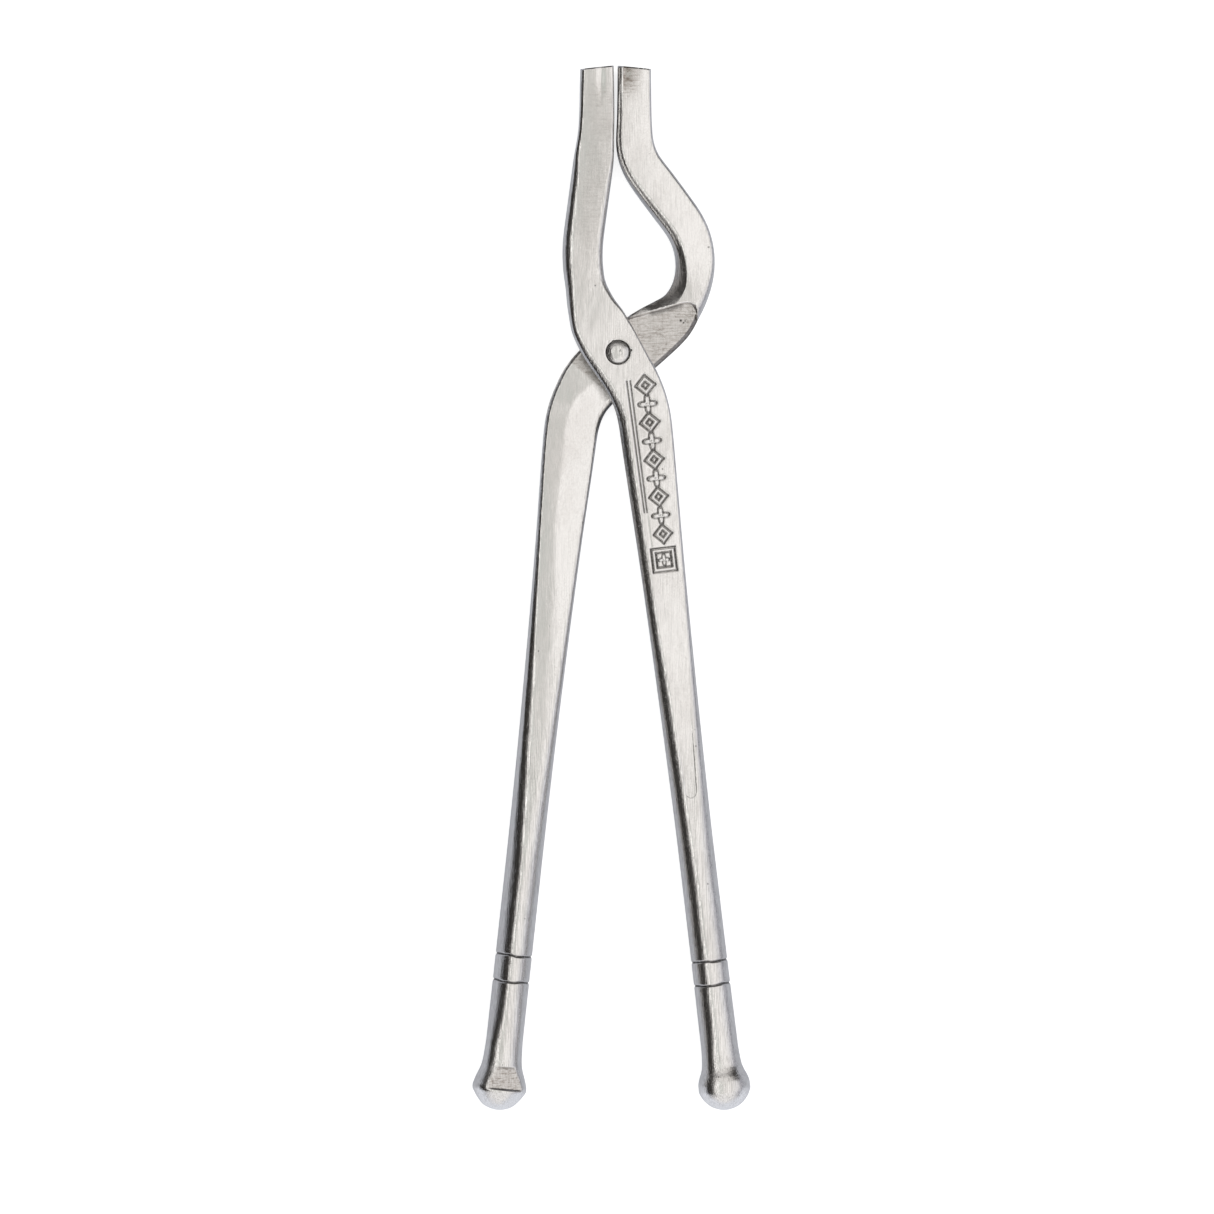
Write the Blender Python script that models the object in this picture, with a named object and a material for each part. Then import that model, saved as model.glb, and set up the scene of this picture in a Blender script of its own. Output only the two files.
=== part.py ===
"""A hand nutcracker: two forged steel levers that cross at a lap joint and turn on one flush rivet.

It lies on its back. X runs across the tool, +Y points from the rivet to the jaw tips and +Z up.
The rivet's axis is the Z axis, and Z is zero on the surface that the tool lies on.
Each lever is one forging: a set of cross-sections carried along a centre line of straight runs and arcs.
"""

import math
from dataclasses import dataclass

import bmesh
import bpy
from mathutils import Vector

MM = 0.001

# Overall sizes, measured along Y from the rivet's axis.
JAW_REACH = 60.5 * MM
HANDLE_REACH = 158.9 * MM

# Jaws: two straight noses that meet, above a pear-shaped gap.
JAW_WIDTH = 7.1 * MM
JAW_THICKNESS = 7.3 * MM
JAW_GAP = 0.74 * MM
JAW_LINE_X = -0.5 * MM
JAW_TIP_SLOPE = math.radians(6.0)
JAW_TIP_BLEND = 6.0 * MM
ARM_WIDTH = 8.4 * MM

# Upper lever's bends, from the jaw to the handle: where its straight runs meet, and their arcs.
UPPER_NOSE = 15.1 * MM
UPPER_BELLY = (-8.75 * MM, 13.3 * MM)
UPPER_ELBOW = (5.1 * MM, -9.6 * MM)
UPPER_BEND_RADII = (94.0 * MM, 34.0 * MM, 26.0 * MM)
UPPER_HANDLE_ANGLE = math.radians(6.8)

# Lower lever's bends, which swing out round the gap.
LOWER_NOSE = 19.4 * MM
LOWER_BELLY = (22.7 * MM, 15.3 * MM)
LOWER_ELBOW = (-9.0 * MM, -7.8 * MM)
LOWER_BEND_RADII = (12.4 * MM, 17.2 * MM, 20.0 * MM)
LOWER_HANDLE_ANGLE = math.radians(-6.2)

# Lap joint. The reaches are distances along a lever from the rivet.
LAP_THICKNESS = 4.9 * MM
LAP_GAP = 0.3 * MM
UPPER_LAP_WIDTH = 11.9 * MM
LOWER_LAP_WIDTH = 12.7 * MM
SHOULDER_REACH = 17.0 * MM
SHOULDER_RUN = 1.3 * MM
LAP_REACH = 15.0 * MM
RAMP_LENGTH = 24.0 * MM
CHEEK_BLEND = 9.0 * MM

# Handles: wide at the joint, tapering to a round bar with a knob.
HANDLE_ROOT_WIDTH = 11.2 * MM
HANDLE_DIAMETER = 7.6 * MM
TAPER_START = 18.0 * MM
TAPER_LENGTH = 82.0 * MM
TAPER_POWER = 1.5
KNOB_DIAMETER = 11.4 * MM
KNOB_DOME = 4.6 * MM
KNOB_FLARE = 8.0 * MM
KNOB_TIP_DIAMETER = 2.4 * MM
GROOVE_PLACES = (27.0 * MM, 32.0 * MM)
GROOVE_WIDTH = 0.5 * MM
GROOVE_DEPTH = 0.25 * MM

# Edges of the cross-sections: how far each rounding runs across and down.
JAW_EDGE = (1.5 * MM, 1.8 * MM)
LAP_EDGE = (0.8 * MM, 0.8 * MM)
ROUND_SHARE = 0.93
CORNER_POINTS = 5

# Rivet: a shank with a countersunk head at each end, peened to a low dome.
RIVET_SHANK_DIAMETER = 4.0 * MM
RIVET_HEAD_DIAMETER = 5.0 * MM
RIVET_SINK = 1.0 * MM
RIVET_RISE = 0.65 * MM
RIVET_FLAT_DIAMETER = 2.8 * MM
RIVET_CLEARANCE = 0.15 * MM
TURNED_STEPS = 48
DOME_POINTS = 4

# Spacing of the cross-sections.
BEND_STEP = 2.4 * MM
STRAIGHT_STEP = 8.0 * MM
KNOB_POINTS = 7
ARC_STEP = math.radians(2.0)

CHEEK_HEIGHT = LAP_GAP / 2 + LAP_THICKNESS
MID_HEIGHT = max(KNOB_DIAMETER / 2, CHEEK_HEIGHT + RIVET_RISE)
STEEL = (0.78, 0.77, 0.75, 1.0)
RIVET_STEEL = (0.70, 0.69, 0.67, 1.0)


def clear_scene():
    """Removes every object that is already there."""
    for old in list(bpy.data.objects):
        bpy.data.objects.remove(old, do_unlink=True)


def steel(name, colour, roughness):
    """A Principled metal of one colour and roughness."""
    material = bpy.data.materials.new(name)
    material.use_nodes = True
    shader = material.node_tree.nodes["Principled BSDF"]
    shader.inputs["Base Color"].default_value = colour
    shader.inputs["Metallic"].default_value = 1.0
    shader.inputs["Roughness"].default_value = roughness
    return material


def ease(start, end, at):
    """0 before start, 1 after end and a smooth S between them."""
    share = min(1.0, max(0.0, (at - start) / (end - start)))
    return share * share * (3.0 - 2.0 * share)


def mix(low, high, share):
    """The value that lies a share of the way from low to high."""
    return low + (high - low) * share


class CentreLine:
    """Straight runs joined by arcs, read by distance along it from the rivet, negative towards the jaw."""

    def __init__(self, corners, radii):
        points = [Vector(c).to_2d() for c in corners]
        line = [points[0]]
        for before, corner, after, radius in zip(points, points[1:], points[2:], radii):
            line += self.bend(before, corner, after, radius)
        line.append(points[-1])
        self.points = line
        self.along = [0.0]
        for a, b in zip(line, line[1:]):
            self.along.append(self.along[-1] + (b - a).length)
        self.rivet_at = self.foot(Vector((0.0, 0.0)))
        self.start = -self.rivet_at
        self.end = self.along[-1] - self.rivet_at

    @staticmethod
    def bend(before, corner, after, radius):
        """The arc that rounds one corner, which takes at most half of each run beside it."""
        inward = (corner - before).normalized()
        outward = (after - corner).normalized()
        turn = inward.angle_signed(outward)
        room = min((corner - before).length, (after - corner).length) / 2
        tangent = min(radius * math.tan(abs(turn) / 2), room)
        radius = tangent / math.tan(abs(turn) / 2)
        side = -math.copysign(1.0, turn)
        start = corner - inward * tangent
        centre = start + side * radius * Vector((-inward.y, inward.x))
        steps = max(2, math.ceil(abs(turn) / ARC_STEP))
        spoke = start - centre
        arc = []
        for step in range(steps + 1):
            angle = side * abs(turn) * step / steps
            cos, sin = math.cos(angle), math.sin(angle)
            arc.append(centre + Vector((spoke.x * cos - spoke.y * sin, spoke.x * sin + spoke.y * cos)))
        return arc

    def foot(self, target):
        """Distance from the line's start to its point that is nearest to the target."""
        best = (math.inf, 0.0)
        for a, b, at in zip(self.points, self.points[1:], self.along):
            run = b - a
            share = min(1.0, max(0.0, (target - a).dot(run) / run.length_squared))
            gap = (target - a - run * share).length
            best = min(best, (gap, at + run.length * share))
        return best[1]

    def at(self, distance):
        """The point and the direction at a distance from the rivet."""
        place = distance + self.rivet_at
        index = max(0, min(len(self.along) - 2, sum(a <= place for a in self.along) - 1))
        a, b = self.points[index], self.points[index + 1]
        direction = (b - a).normalized()
        return a + direction * (place - self.along[index]), direction


@dataclass
class Lever:
    """One lever. Its side is +1 above the lap plane and -1 below it."""

    name: str
    side: int
    line: CentreLine
    lap_width: float
    inner_side: int

    def knob_radius(self, from_end):
        """Radius of the knob at a distance from its end: a dome, a rim and a hollow flare to the bar."""
        if from_end < KNOB_DOME:
            share = from_end / KNOB_DOME
            return mix(KNOB_TIP_DIAMETER, KNOB_DIAMETER, math.sin(math.pi / 2 * share) ** 0.8) / 2
        share = min(1.0, (from_end - KNOB_DOME) / KNOB_FLARE)
        return mix(HANDLE_DIAMETER, KNOB_DIAMETER, (1.0 - share) ** 2 * (1.0 + share)) / 2

    def half_width(self, at):
        """Half the lever's width: narrow nose, wider arm, widest lap, then the handle's taper."""
        nose_end = self.line.start + JAW_WIDTH
        arm = mix(JAW_WIDTH, ARM_WIDTH, ease(nose_end, nose_end + 2 * ARM_WIDTH, at))
        lap = mix(arm, self.lap_width, ease(-SHOULDER_REACH, -SHOULDER_REACH / 3, at))
        root = mix(lap, HANDLE_ROOT_WIDTH, ease(0.0, LAP_REACH, at))
        share = min(1.0, max(0.0, (at - TAPER_START) / TAPER_LENGTH))
        taper = mix(HANDLE_DIAMETER, root, (1.0 - share) ** TAPER_POWER)
        return self.end_radius(at, taper / 2)

    def end_radius(self, at, bar):
        """A radius of the bar, or the knob's or a groove's near the handle's end."""
        from_end = self.line.end - at
        if from_end < KNOB_DOME + KNOB_FLARE:
            return self.knob_radius(from_end)
        for place in GROOVE_PLACES:
            if abs(from_end - place) < GROOVE_WIDTH / 2:
                return bar - GROOVE_DEPTH
        return bar

    def heights(self, at):
        """Distances from the lap plane of the face away from the other lever, and of the face towards it."""
        far = mix(JAW_THICKNESS / 2, CHEEK_HEIGHT, ease(-SHOULDER_REACH - CHEEK_BLEND, -LAP_THICKNESS, at))
        far = mix(far, HANDLE_DIAMETER / 2, ease(LAP_REACH, TAPER_START + TAPER_LENGTH, at))
        near = mix(-JAW_THICKNESS / 2, LAP_GAP / 2, ease(-SHOULDER_REACH, -SHOULDER_REACH + SHOULDER_RUN, at))
        near = mix(near, -HANDLE_DIAMETER / 2, ease(LAP_REACH, LAP_REACH + RAMP_LENGTH, at))
        if at > TAPER_START + TAPER_LENGTH:
            far = self.end_radius(at, HANDLE_DIAMETER / 2)
            near = -far
        return far, near

    def edge(self, at, half_width, half_height):
        """How far the section's corners are rounded across and down."""
        jaw = ease(-SHOULDER_REACH, -SHOULDER_REACH / 2, at)
        across, down = (mix(j, lap, jaw) for j, lap in zip(JAW_EDGE, LAP_EDGE))
        roundness = ease(0.0, TAPER_START + TAPER_LENGTH, at)
        across = mix(across, ROUND_SHARE * half_width, roundness)
        down = mix(down, ROUND_SHARE * half_height, ease(LAP_REACH, LAP_REACH + 2 * RAMP_LENGTH, at))
        return min(across, ROUND_SHARE * half_width), min(down, ROUND_SHARE * half_height)

    def section(self, at):
        """The closed ring of points of the cross-section at a distance from the rivet."""
        centre, direction = self.line.at(at)
        across = Vector((-direction.y, direction.x))
        half_width = self.half_width(at)
        far, near = self.heights(at)
        half_height = (far - near) / 2
        middle = MID_HEIGHT + self.side * (far + near) / 2
        edge_across, edge_down = self.edge(at, half_width, half_height)
        tip = 1.0 - ease(self.line.start, self.line.start + JAW_TIP_BLEND, at)
        ring = []
        for quarter in range(4):
            for step in range(CORNER_POINTS):
                angle = math.pi / 2 * (quarter + step / (CORNER_POINTS - 1))
                u_sign = 1 if quarter in (0, 3) else -1
                z_sign = 1 if quarter in (0, 1) else -1
                u = u_sign * (half_width - edge_across) + edge_across * math.cos(angle)
                z = z_sign * (half_height - edge_down) + edge_down * math.sin(angle)
                from_inner = half_width - self.inner_side * u
                back = tip * math.tan(JAW_TIP_SLOPE) * from_inner
                place = centre + across * u + direction * back
                ring.append(Vector((place.x, place.y, middle + z)))
        return ring

    def stations(self):
        """Distances from the rivet at which the lever has a cross-section."""
        shoulder = [-SHOULDER_REACH + SHOULDER_RUN * k / 4 for k in range(5)]
        bends = spread(self.line.start, -SHOULDER_REACH, BEND_STEP)
        lap = spread(shoulder[-1], LAP_REACH + RAMP_LENGTH, BEND_STEP)
        handle_end = self.line.end - max(GROOVE_PLACES) - GROOVE_WIDTH
        handle = spread(LAP_REACH + RAMP_LENGTH, handle_end, STRAIGHT_STEP)
        grooves = []
        for place in sorted(GROOVE_PLACES, reverse=True):
            for offset in (-0.62, -0.38, 0.38, 0.62):
                grooves.append(self.line.end - place + offset * GROOVE_WIDTH)
        flare = spread(grooves[-1], self.line.end - KNOB_DOME, BEND_STEP)
        dome = [self.line.end - KNOB_DOME * (1 - k / KNOB_POINTS) ** 1.5 for k in range(KNOB_POINTS)]
        every = bends + shoulder[1:] + lap[1:] + handle[1:] + grooves + flare[1:-1] + dome
        return every + [self.line.end]

    def build(self, material):
        """The lever as one closed mesh: its sections bridged in turn and its two ends capped."""
        mesh = bmesh.new()
        rings = []
        for at in self.stations():
            verts = [mesh.verts.new(p) for p in self.section(at)]
            rings.append([mesh.edges.new(pair) for pair in zip(verts, verts[1:] + verts[:1])])
        for first, second in zip(rings, rings[1:]):
            bmesh.ops.bridge_loops(mesh, edges=first + second)
        bmesh.ops.holes_fill(mesh, edges=rings[0] + rings[-1], sides=0)
        return finish(self.name, mesh, material)


def spread(start, end, step):
    """Evenly spaced distances from start to end, both included, no further apart than a step."""
    count = max(1, math.ceil((end - start) / step))
    return [mix(start, end, k / count) for k in range(count + 1)]


def finish(name, mesh, material):
    """Turns a bmesh into a shaded object in the scene."""
    bmesh.ops.recalc_face_normals(mesh, faces=mesh.faces)
    data = bpy.data.meshes.new(name)
    mesh.to_mesh(data)
    mesh.free()
    data.materials.append(material)
    data.shade_smooth()
    data.set_sharp_from_angle(angle=math.radians(35))
    made = bpy.data.objects.new(name, data)
    bpy.context.scene.collection.objects.link(made)
    return made


def turned(name, profile, material):
    """A solid of revolution about Z, from (radius, height) points that start and end on the axis."""
    mesh = bmesh.new()
    verts = [mesh.verts.new((radius, 0.0, height)) for radius, height in profile]
    edges = [mesh.edges.new(pair) for pair in zip(verts, verts[1:])]
    bmesh.ops.spin(
        mesh,
        geom=verts + edges,
        axis=(0.0, 0.0, 1.0),
        cent=(0.0, 0.0, 0.0),
        steps=TURNED_STEPS,
        angle=2 * math.pi,
    )
    bmesh.ops.remove_doubles(mesh, verts=mesh.verts, dist=0.001 * MM)
    return finish(name, mesh, material)


def rivet_half(clearance):
    """(radius, distance from the lap plane) of half the rivet, from its shank to the rim of its head."""
    shank = RIVET_SHANK_DIAMETER / 2 + clearance
    head = RIVET_HEAD_DIAMETER / 2 + clearance
    return [(shank, CHEEK_HEIGHT - RIVET_SINK), (head, CHEEK_HEIGHT)]


def rivet_profile():
    """The rivet from the middle of its tail to the middle of its head."""
    flat = RIVET_FLAT_DIAMETER / 2
    rim = RIVET_HEAD_DIAMETER / 2
    half = rivet_half(0.0)
    for step in range(1, DOME_POINTS + 1):
        angle = math.pi / 2 * step / DOME_POINTS
        half.append((mix(flat, rim, math.cos(angle)), CHEEK_HEIGHT + RIVET_RISE * math.sin(angle)))
    half.append((0.0, CHEEK_HEIGHT + RIVET_RISE))
    tail = [(r, MID_HEIGHT - h) for r, h in reversed(half)]
    head = [(r, MID_HEIGHT + h) for r, h in half]
    return tail + head


def hole_profile():
    """The rivet's hole through both levers, which runs on past both cheeks."""
    half = rivet_half(RIVET_CLEARANCE)
    head = half[-1][0]
    half += [(head, CHEEK_HEIGHT + JAW_THICKNESS), (0.0, CHEEK_HEIGHT + JAW_THICKNESS)]
    return [(r, MID_HEIGHT - h) for r, h in reversed(half)] + [(r, MID_HEIGHT + h) for r, h in half]


def drill(lever, cutter):
    """Cuts the rivet's hole out of a lever."""
    cut = lever.modifiers.new("rivet_hole", "BOOLEAN")
    cut.operation = "DIFFERENCE"
    cut.solver = "EXACT"
    cut.object = cutter


def handle_end(elbow, angle):
    """Where a handle's centre line ends, at the handles' reach."""
    drop = HANDLE_REACH + elbow[1]
    return (elbow[0] + drop * math.tan(angle), -HANDLE_REACH)


def upper_lever():
    """The lever on top at the rivet, with the left jaw and the right handle."""
    x = JAW_LINE_X - (JAW_GAP + JAW_WIDTH) / 2
    corners = [
        (x, JAW_REACH),
        (x, JAW_REACH - UPPER_NOSE),
        UPPER_BELLY,
        UPPER_ELBOW,
        handle_end(UPPER_ELBOW, UPPER_HANDLE_ANGLE),
    ]
    return Lever("upper_lever", 1, CentreLine(corners, UPPER_BEND_RADII), UPPER_LAP_WIDTH, 1)


def lower_lever():
    """The lever underneath at the rivet, with the right jaw and the left handle."""
    x = JAW_LINE_X + (JAW_GAP + JAW_WIDTH) / 2
    corners = [
        (x, JAW_REACH),
        (x, JAW_REACH - LOWER_NOSE),
        LOWER_BELLY,
        LOWER_ELBOW,
        handle_end(LOWER_ELBOW, LOWER_HANDLE_ANGLE),
    ]
    return Lever("lower_lever", -1, CentreLine(corners, LOWER_BEND_RADII), LOWER_LAP_WIDTH, -1)


def main():
    """Builds the two levers and the rivet that joins them."""
    clear_scene()
    lever_steel = steel("polished_steel", STEEL, 0.25)
    rivet_steel = steel("rivet_steel", RIVET_STEEL, 0.35)
    cutter = turned("rivet_hole_cutter", hole_profile(), lever_steel)
    cutter.hide_render = True
    cutter.display_type = "WIRE"
    for lever in (upper_lever(), lower_lever()):
        drill(lever.build(lever_steel), cutter)
    turned("rivet", rivet_profile(), rivet_steel)


main()
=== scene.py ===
"""Looks of a hand nutcracker: two forged, polished steel levers and the hammered rivet they turn on.

Lengths inside the classes are in millimetres and become metres when a mesh is made. The frame's axes are
kept: +Y runs from the rivet to the jaw tips, +X across the tool and +Z up along the rivet's axis.
"""

import logging
import math
from dataclasses import dataclass, field
from enum import Enum

import bpy
import numpy as np
from numpy.typing import NDArray
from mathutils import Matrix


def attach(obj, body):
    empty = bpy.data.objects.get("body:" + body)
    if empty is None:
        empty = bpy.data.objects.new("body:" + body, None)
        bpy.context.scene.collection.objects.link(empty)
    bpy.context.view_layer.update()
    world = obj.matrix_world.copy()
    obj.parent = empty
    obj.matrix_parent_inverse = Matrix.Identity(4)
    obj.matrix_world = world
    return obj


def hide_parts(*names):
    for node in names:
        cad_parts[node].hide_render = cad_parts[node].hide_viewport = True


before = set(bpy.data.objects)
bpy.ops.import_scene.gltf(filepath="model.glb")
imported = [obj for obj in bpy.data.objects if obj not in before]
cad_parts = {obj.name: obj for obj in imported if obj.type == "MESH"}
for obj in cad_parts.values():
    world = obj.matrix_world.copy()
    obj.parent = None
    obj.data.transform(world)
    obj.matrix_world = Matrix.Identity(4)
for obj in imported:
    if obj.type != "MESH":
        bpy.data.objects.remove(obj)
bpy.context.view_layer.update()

Array = NDArray[np.float64]
Pair = tuple[float, float]
Colour = tuple[float, float, float]

MM = 0.001
MID_HEIGHT = 5.7
LAP_FACE = 0.15
CHEEK_HEIGHT = 5.05
REACH = 158.9
TIP_REACH = 60.5
FULL_RECESS = 0.25
OUT_OF_REACH = 40.0

logging.basicConfig(level=logging.INFO, format="%(message)s")
log = logging.getLogger("nutcracker")


class Side(Enum):
    """Which way a lever's outer face looks at the joint."""

    TOP = 1
    BOTTOM = -1


# ---------------------------------------------------------------- curves and surfaces


def smooth(low: float, high: float, at: Array) -> Array:
    """An S-shaped step: 0 below low, 1 above high, and 3t^2 - 2t^3 between them.

    Args:
        low: Where the step starts. It may be more than high, which turns the step round.
        high: Where the step ends.
        at: The values to read.

    Returns:
        The step's height at each value.
    """
    t = np.clip((at - low) / (high - low), 0.0, 1.0)
    return t * t * (3.0 - 2.0 * t)


def soft_min(a: Array, b: Array, width: Array | float) -> Array:
    """The lower of two surfaces with their crease rounded over a width.

    It is min(a, b) less (w - |a - b|)^2 / 4w wherever the two are closer than the width w.

    Args:
        a: One surface's heights.
        b: The other's heights.
        width: How far apart the two may be and still be blended.

    Returns:
        The blended heights.
    """
    near = np.maximum(width - np.abs(a - b), 0.0)
    return np.minimum(a, b) - near * near / (4.0 * width)


@dataclass(frozen=True)
class Keys:
    """A size that changes smoothly along a lever: monotone cubics through (distance, value) pairs."""

    pairs: tuple[Pair, ...]

    def __call__(self, at: Array) -> Array:
        """Reads the size; each cubic's end slopes are the harmonic mean of its neighbours' slopes.

        Args:
            at: Distances along the lever.

        Returns:
            The size at each distance, held constant beyond the first and the last pair.
        """
        x, y = np.array(self.pairs, dtype=float).T
        at = np.clip(at, x[0], x[-1])
        step = np.diff(x)
        rise = np.diff(y) / step
        slope = np.zeros_like(y)
        same = rise[:-1] * rise[1:] > 0.0
        mean = 2.0 * rise[:-1] * rise[1:] / np.where(same, rise[:-1] + rise[1:], 1.0)
        slope[1:-1] = np.where(same, mean, 0.0)
        i = np.clip(np.searchsorted(x, at, side="right") - 1, 0, len(step) - 1)
        t = (at - x[i]) / step[i]
        bend = (slope[i] + slope[i + 1] - 2.0 * rise[i]) * t
        cubic = ((bend + 3.0 * rise[i] - 2.0 * slope[i] - slope[i + 1]) * t + slope[i]) * t
        return y[i] + cubic * step[i]


@dataclass(frozen=True)
class CentreLine:
    """A lever's centre line: straight runs between corners, each corner rounded by an arc."""

    corners: tuple[Pair, ...]
    radii: tuple[float, ...]
    softness: float = 1.2
    grain: float = 0.2

    def __post_init__(self) -> None:
        """Works out the line's points at even spacing and where the rivet's axis meets it."""
        corners = np.array(self.corners, dtype=float)
        parts = [corners[:1]]
        for before, corner, after, radius in zip(corners, corners[1:], corners[2:], self.radii):
            parts.append(self._arc(before, corner, after, radius))
        parts.append(corners[-1:])
        line = np.vstack(parts)
        along = self._lengths(line)
        even = np.linspace(0.0, along[-1], int(along[-1] / self.grain) + 1)
        points = np.stack([np.interp(even, along, line[:, k]) for k in range(2)], axis=1)
        points = self._soften(points)
        object.__setattr__(self, "points", points)
        object.__setattr__(self, "along", self._lengths(points))
        object.__setattr__(self, "rivet_at", self.along[np.argmin(np.hypot(*points.T))])

    @staticmethod
    def _lengths(line: Array) -> Array:
        """Running length along a row of points."""
        return np.concatenate([[0.0], np.cumsum(np.hypot(*np.diff(line, axis=0).T))])

    @staticmethod
    def _arc(before: Array, corner: Array, after: Array, radius: float) -> Array:
        """The arc that touches both runs beside a corner and takes at most half of each.

        Args:
            before: The corner before it.
            corner: The corner to round.
            after: The corner after it.
            radius: The arc's radius, made smaller where the runs are too short.

        Returns:
            Points on the arc: the arc's centre plus its first spoke turned step by step.
        """
        inward, outward = corner - before, after - corner
        runs = np.hypot(*inward), np.hypot(*outward)
        inward, outward = inward / runs[0], outward / runs[1]
        turn = math.atan2(inward[0] * outward[1] - inward[1] * outward[0], inward @ outward)
        tangent = min(radius * math.tan(abs(turn) / 2.0), min(runs) / 2.0)
        radius = tangent / math.tan(abs(turn) / 2.0)
        start = corner - inward * tangent
        spoke = math.copysign(radius, turn) * np.array([inward[1], -inward[0]])
        angle = np.linspace(0.0, turn, 40)
        cos, sin = np.cos(angle), np.sin(angle)
        turned = np.stack([spoke[0] * cos - spoke[1] * sin, spoke[0] * sin + spoke[1] * cos], axis=1)
        return start - spoke + turned

    def _soften(self, points: Array) -> Array:
        """Averages the line with a bell curve, so that its curvature changes without a jump.

        Args:
            points: Points at even spacing.

        Returns:
            The averaged points. The ends are carried on straight first, so they stay in place.
        """
        reach = int(4.0 * self.softness / self.grain)
        steps = np.arange(-reach, reach + 1)
        bell = np.exp(-0.5 * (steps * self.grain / self.softness) ** 2)
        out = np.arange(1, reach + 1)[:, None]
        head = points[0] - out[::-1] * (points[1] - points[0])
        tail = points[-1] + out * (points[-1] - points[-2])
        padded = np.vstack([head, points, tail])
        return np.stack([np.convolve(padded[:, k], bell / bell.sum(), "valid") for k in range(2)], axis=1)

    @property
    def start(self) -> float:
        """Distance of the jaw's tip from the rivet, which is negative."""
        return -float(self.rivet_at)

    @property
    def end(self) -> float:
        """Distance of the handle's end from the rivet."""
        return float(self.along[-1] - self.rivet_at)

    def read(self, at: Array) -> tuple[Array, Array]:
        """Points and directions at distances from the rivet, carried on straight past both ends.

        Args:
            at: Distances from the rivet, negative towards the jaw.

        Returns:
            The points and the unit directions, one row for each distance.
        """
        place = at + self.rivet_at
        inside = np.clip(place, 0.0, self.along[-1])
        slope = np.gradient(self.points, self.along, axis=0)
        point = np.stack([np.interp(inside, self.along, self.points[:, k]) for k in range(2)], axis=1)
        way = np.stack([np.interp(inside, self.along, slope[:, k]) for k in range(2)], axis=1)
        way /= np.hypot(*way.T)[:, None]
        return point + way * (place - inside)[:, None], way


def graded(stops: tuple[tuple[float, float, float], ...]) -> Array:
    """Distances for the cross-sections, in stretches of even spacing.

    Args:
        stops: (start, end, largest step) of each stretch, in order and end to end.

    Returns:
        The distances, with each joint between stretches once.
    """
    runs = [np.linspace(a, b, max(2, math.ceil((b - a) / step) + 1))[:-1] for a, b, step in stops]
    return np.concatenate([*runs, [stops[-1][1]]])


def closed_tube(name: str, rings: Array, marks: dict[str, Array]) -> bpy.types.Object:
    """A mesh from closed rings of points, joined ring to ring and closed by a pole at each end.

    The faces are turned to look outwards: the signed volume, a sum over all corners of
    x times the area seen along X, tells which way they look.

    Args:
        name: The object's name.
        rings: Points in millimetres, indexed by ring, place round the ring and axis.
        marks: Named values, one for each ring and place, kept as point attributes.

    Returns:
        The object, at the origin.
    """
    count, around = rings.shape[:2]
    poles = np.stack([rings[0].mean(axis=0), rings[-1].mean(axis=0)])
    points = np.vstack([rings.reshape(-1, 3), poles]) * MM
    here = np.arange(count * around).reshape(count, around)
    beside = np.roll(here, -1, axis=1)
    quads = np.stack([here[:-1], beside[:-1], beside[1:], here[1:]], axis=-1).reshape(-1, 4)
    first, last = count * around, count * around + 1
    head = np.stack([beside[0], here[0], np.full(around, first)], axis=-1)
    tail = np.stack([here[-1], beside[-1], np.full(around, last)], axis=-1)
    a, b, c, d = (points[quads[:, k]] for k in range(4))
    volume = np.einsum("ij,ij->", a, np.cross(b, c)) + np.einsum("ij,ij->", a, np.cross(c, d))
    if volume < 0.0:
        quads, head, tail = quads[:, ::-1], head[:, ::-1], tail[:, ::-1]
    corners = np.concatenate([quads.ravel(), head.ravel(), tail.ravel()])
    sizes = np.concatenate([np.full(len(quads), 4), np.full(len(head) + len(tail), 3)])
    mesh = bpy.data.meshes.new(name)
    mesh.vertices.add(len(points))
    mesh.vertices.foreach_set("co", points.astype(np.float32).ravel())
    mesh.loops.add(len(corners))
    mesh.loops.foreach_set("vertex_index", corners.astype(np.int32))
    mesh.polygons.add(len(sizes))
    starts = np.concatenate([[0], np.cumsum(sizes)[:-1]])
    mesh.polygons.foreach_set("loop_start", starts.astype(np.int32))
    mesh.update(calc_edges=True)
    mesh.validate()
    for mark, values in marks.items():
        ends = np.array([values[0].mean(), values[-1].mean()])
        layer = mesh.attributes.new(mark, "FLOAT", "POINT")
        layer.data.foreach_set("value", np.concatenate([values.ravel(), ends]).astype(np.float32))
    mesh.shade_smooth()
    made = bpy.data.objects.new(name, mesh)
    bpy.context.scene.collection.objects.link(made)
    return made


# ---------------------------------------------------------------- ornament


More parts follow.
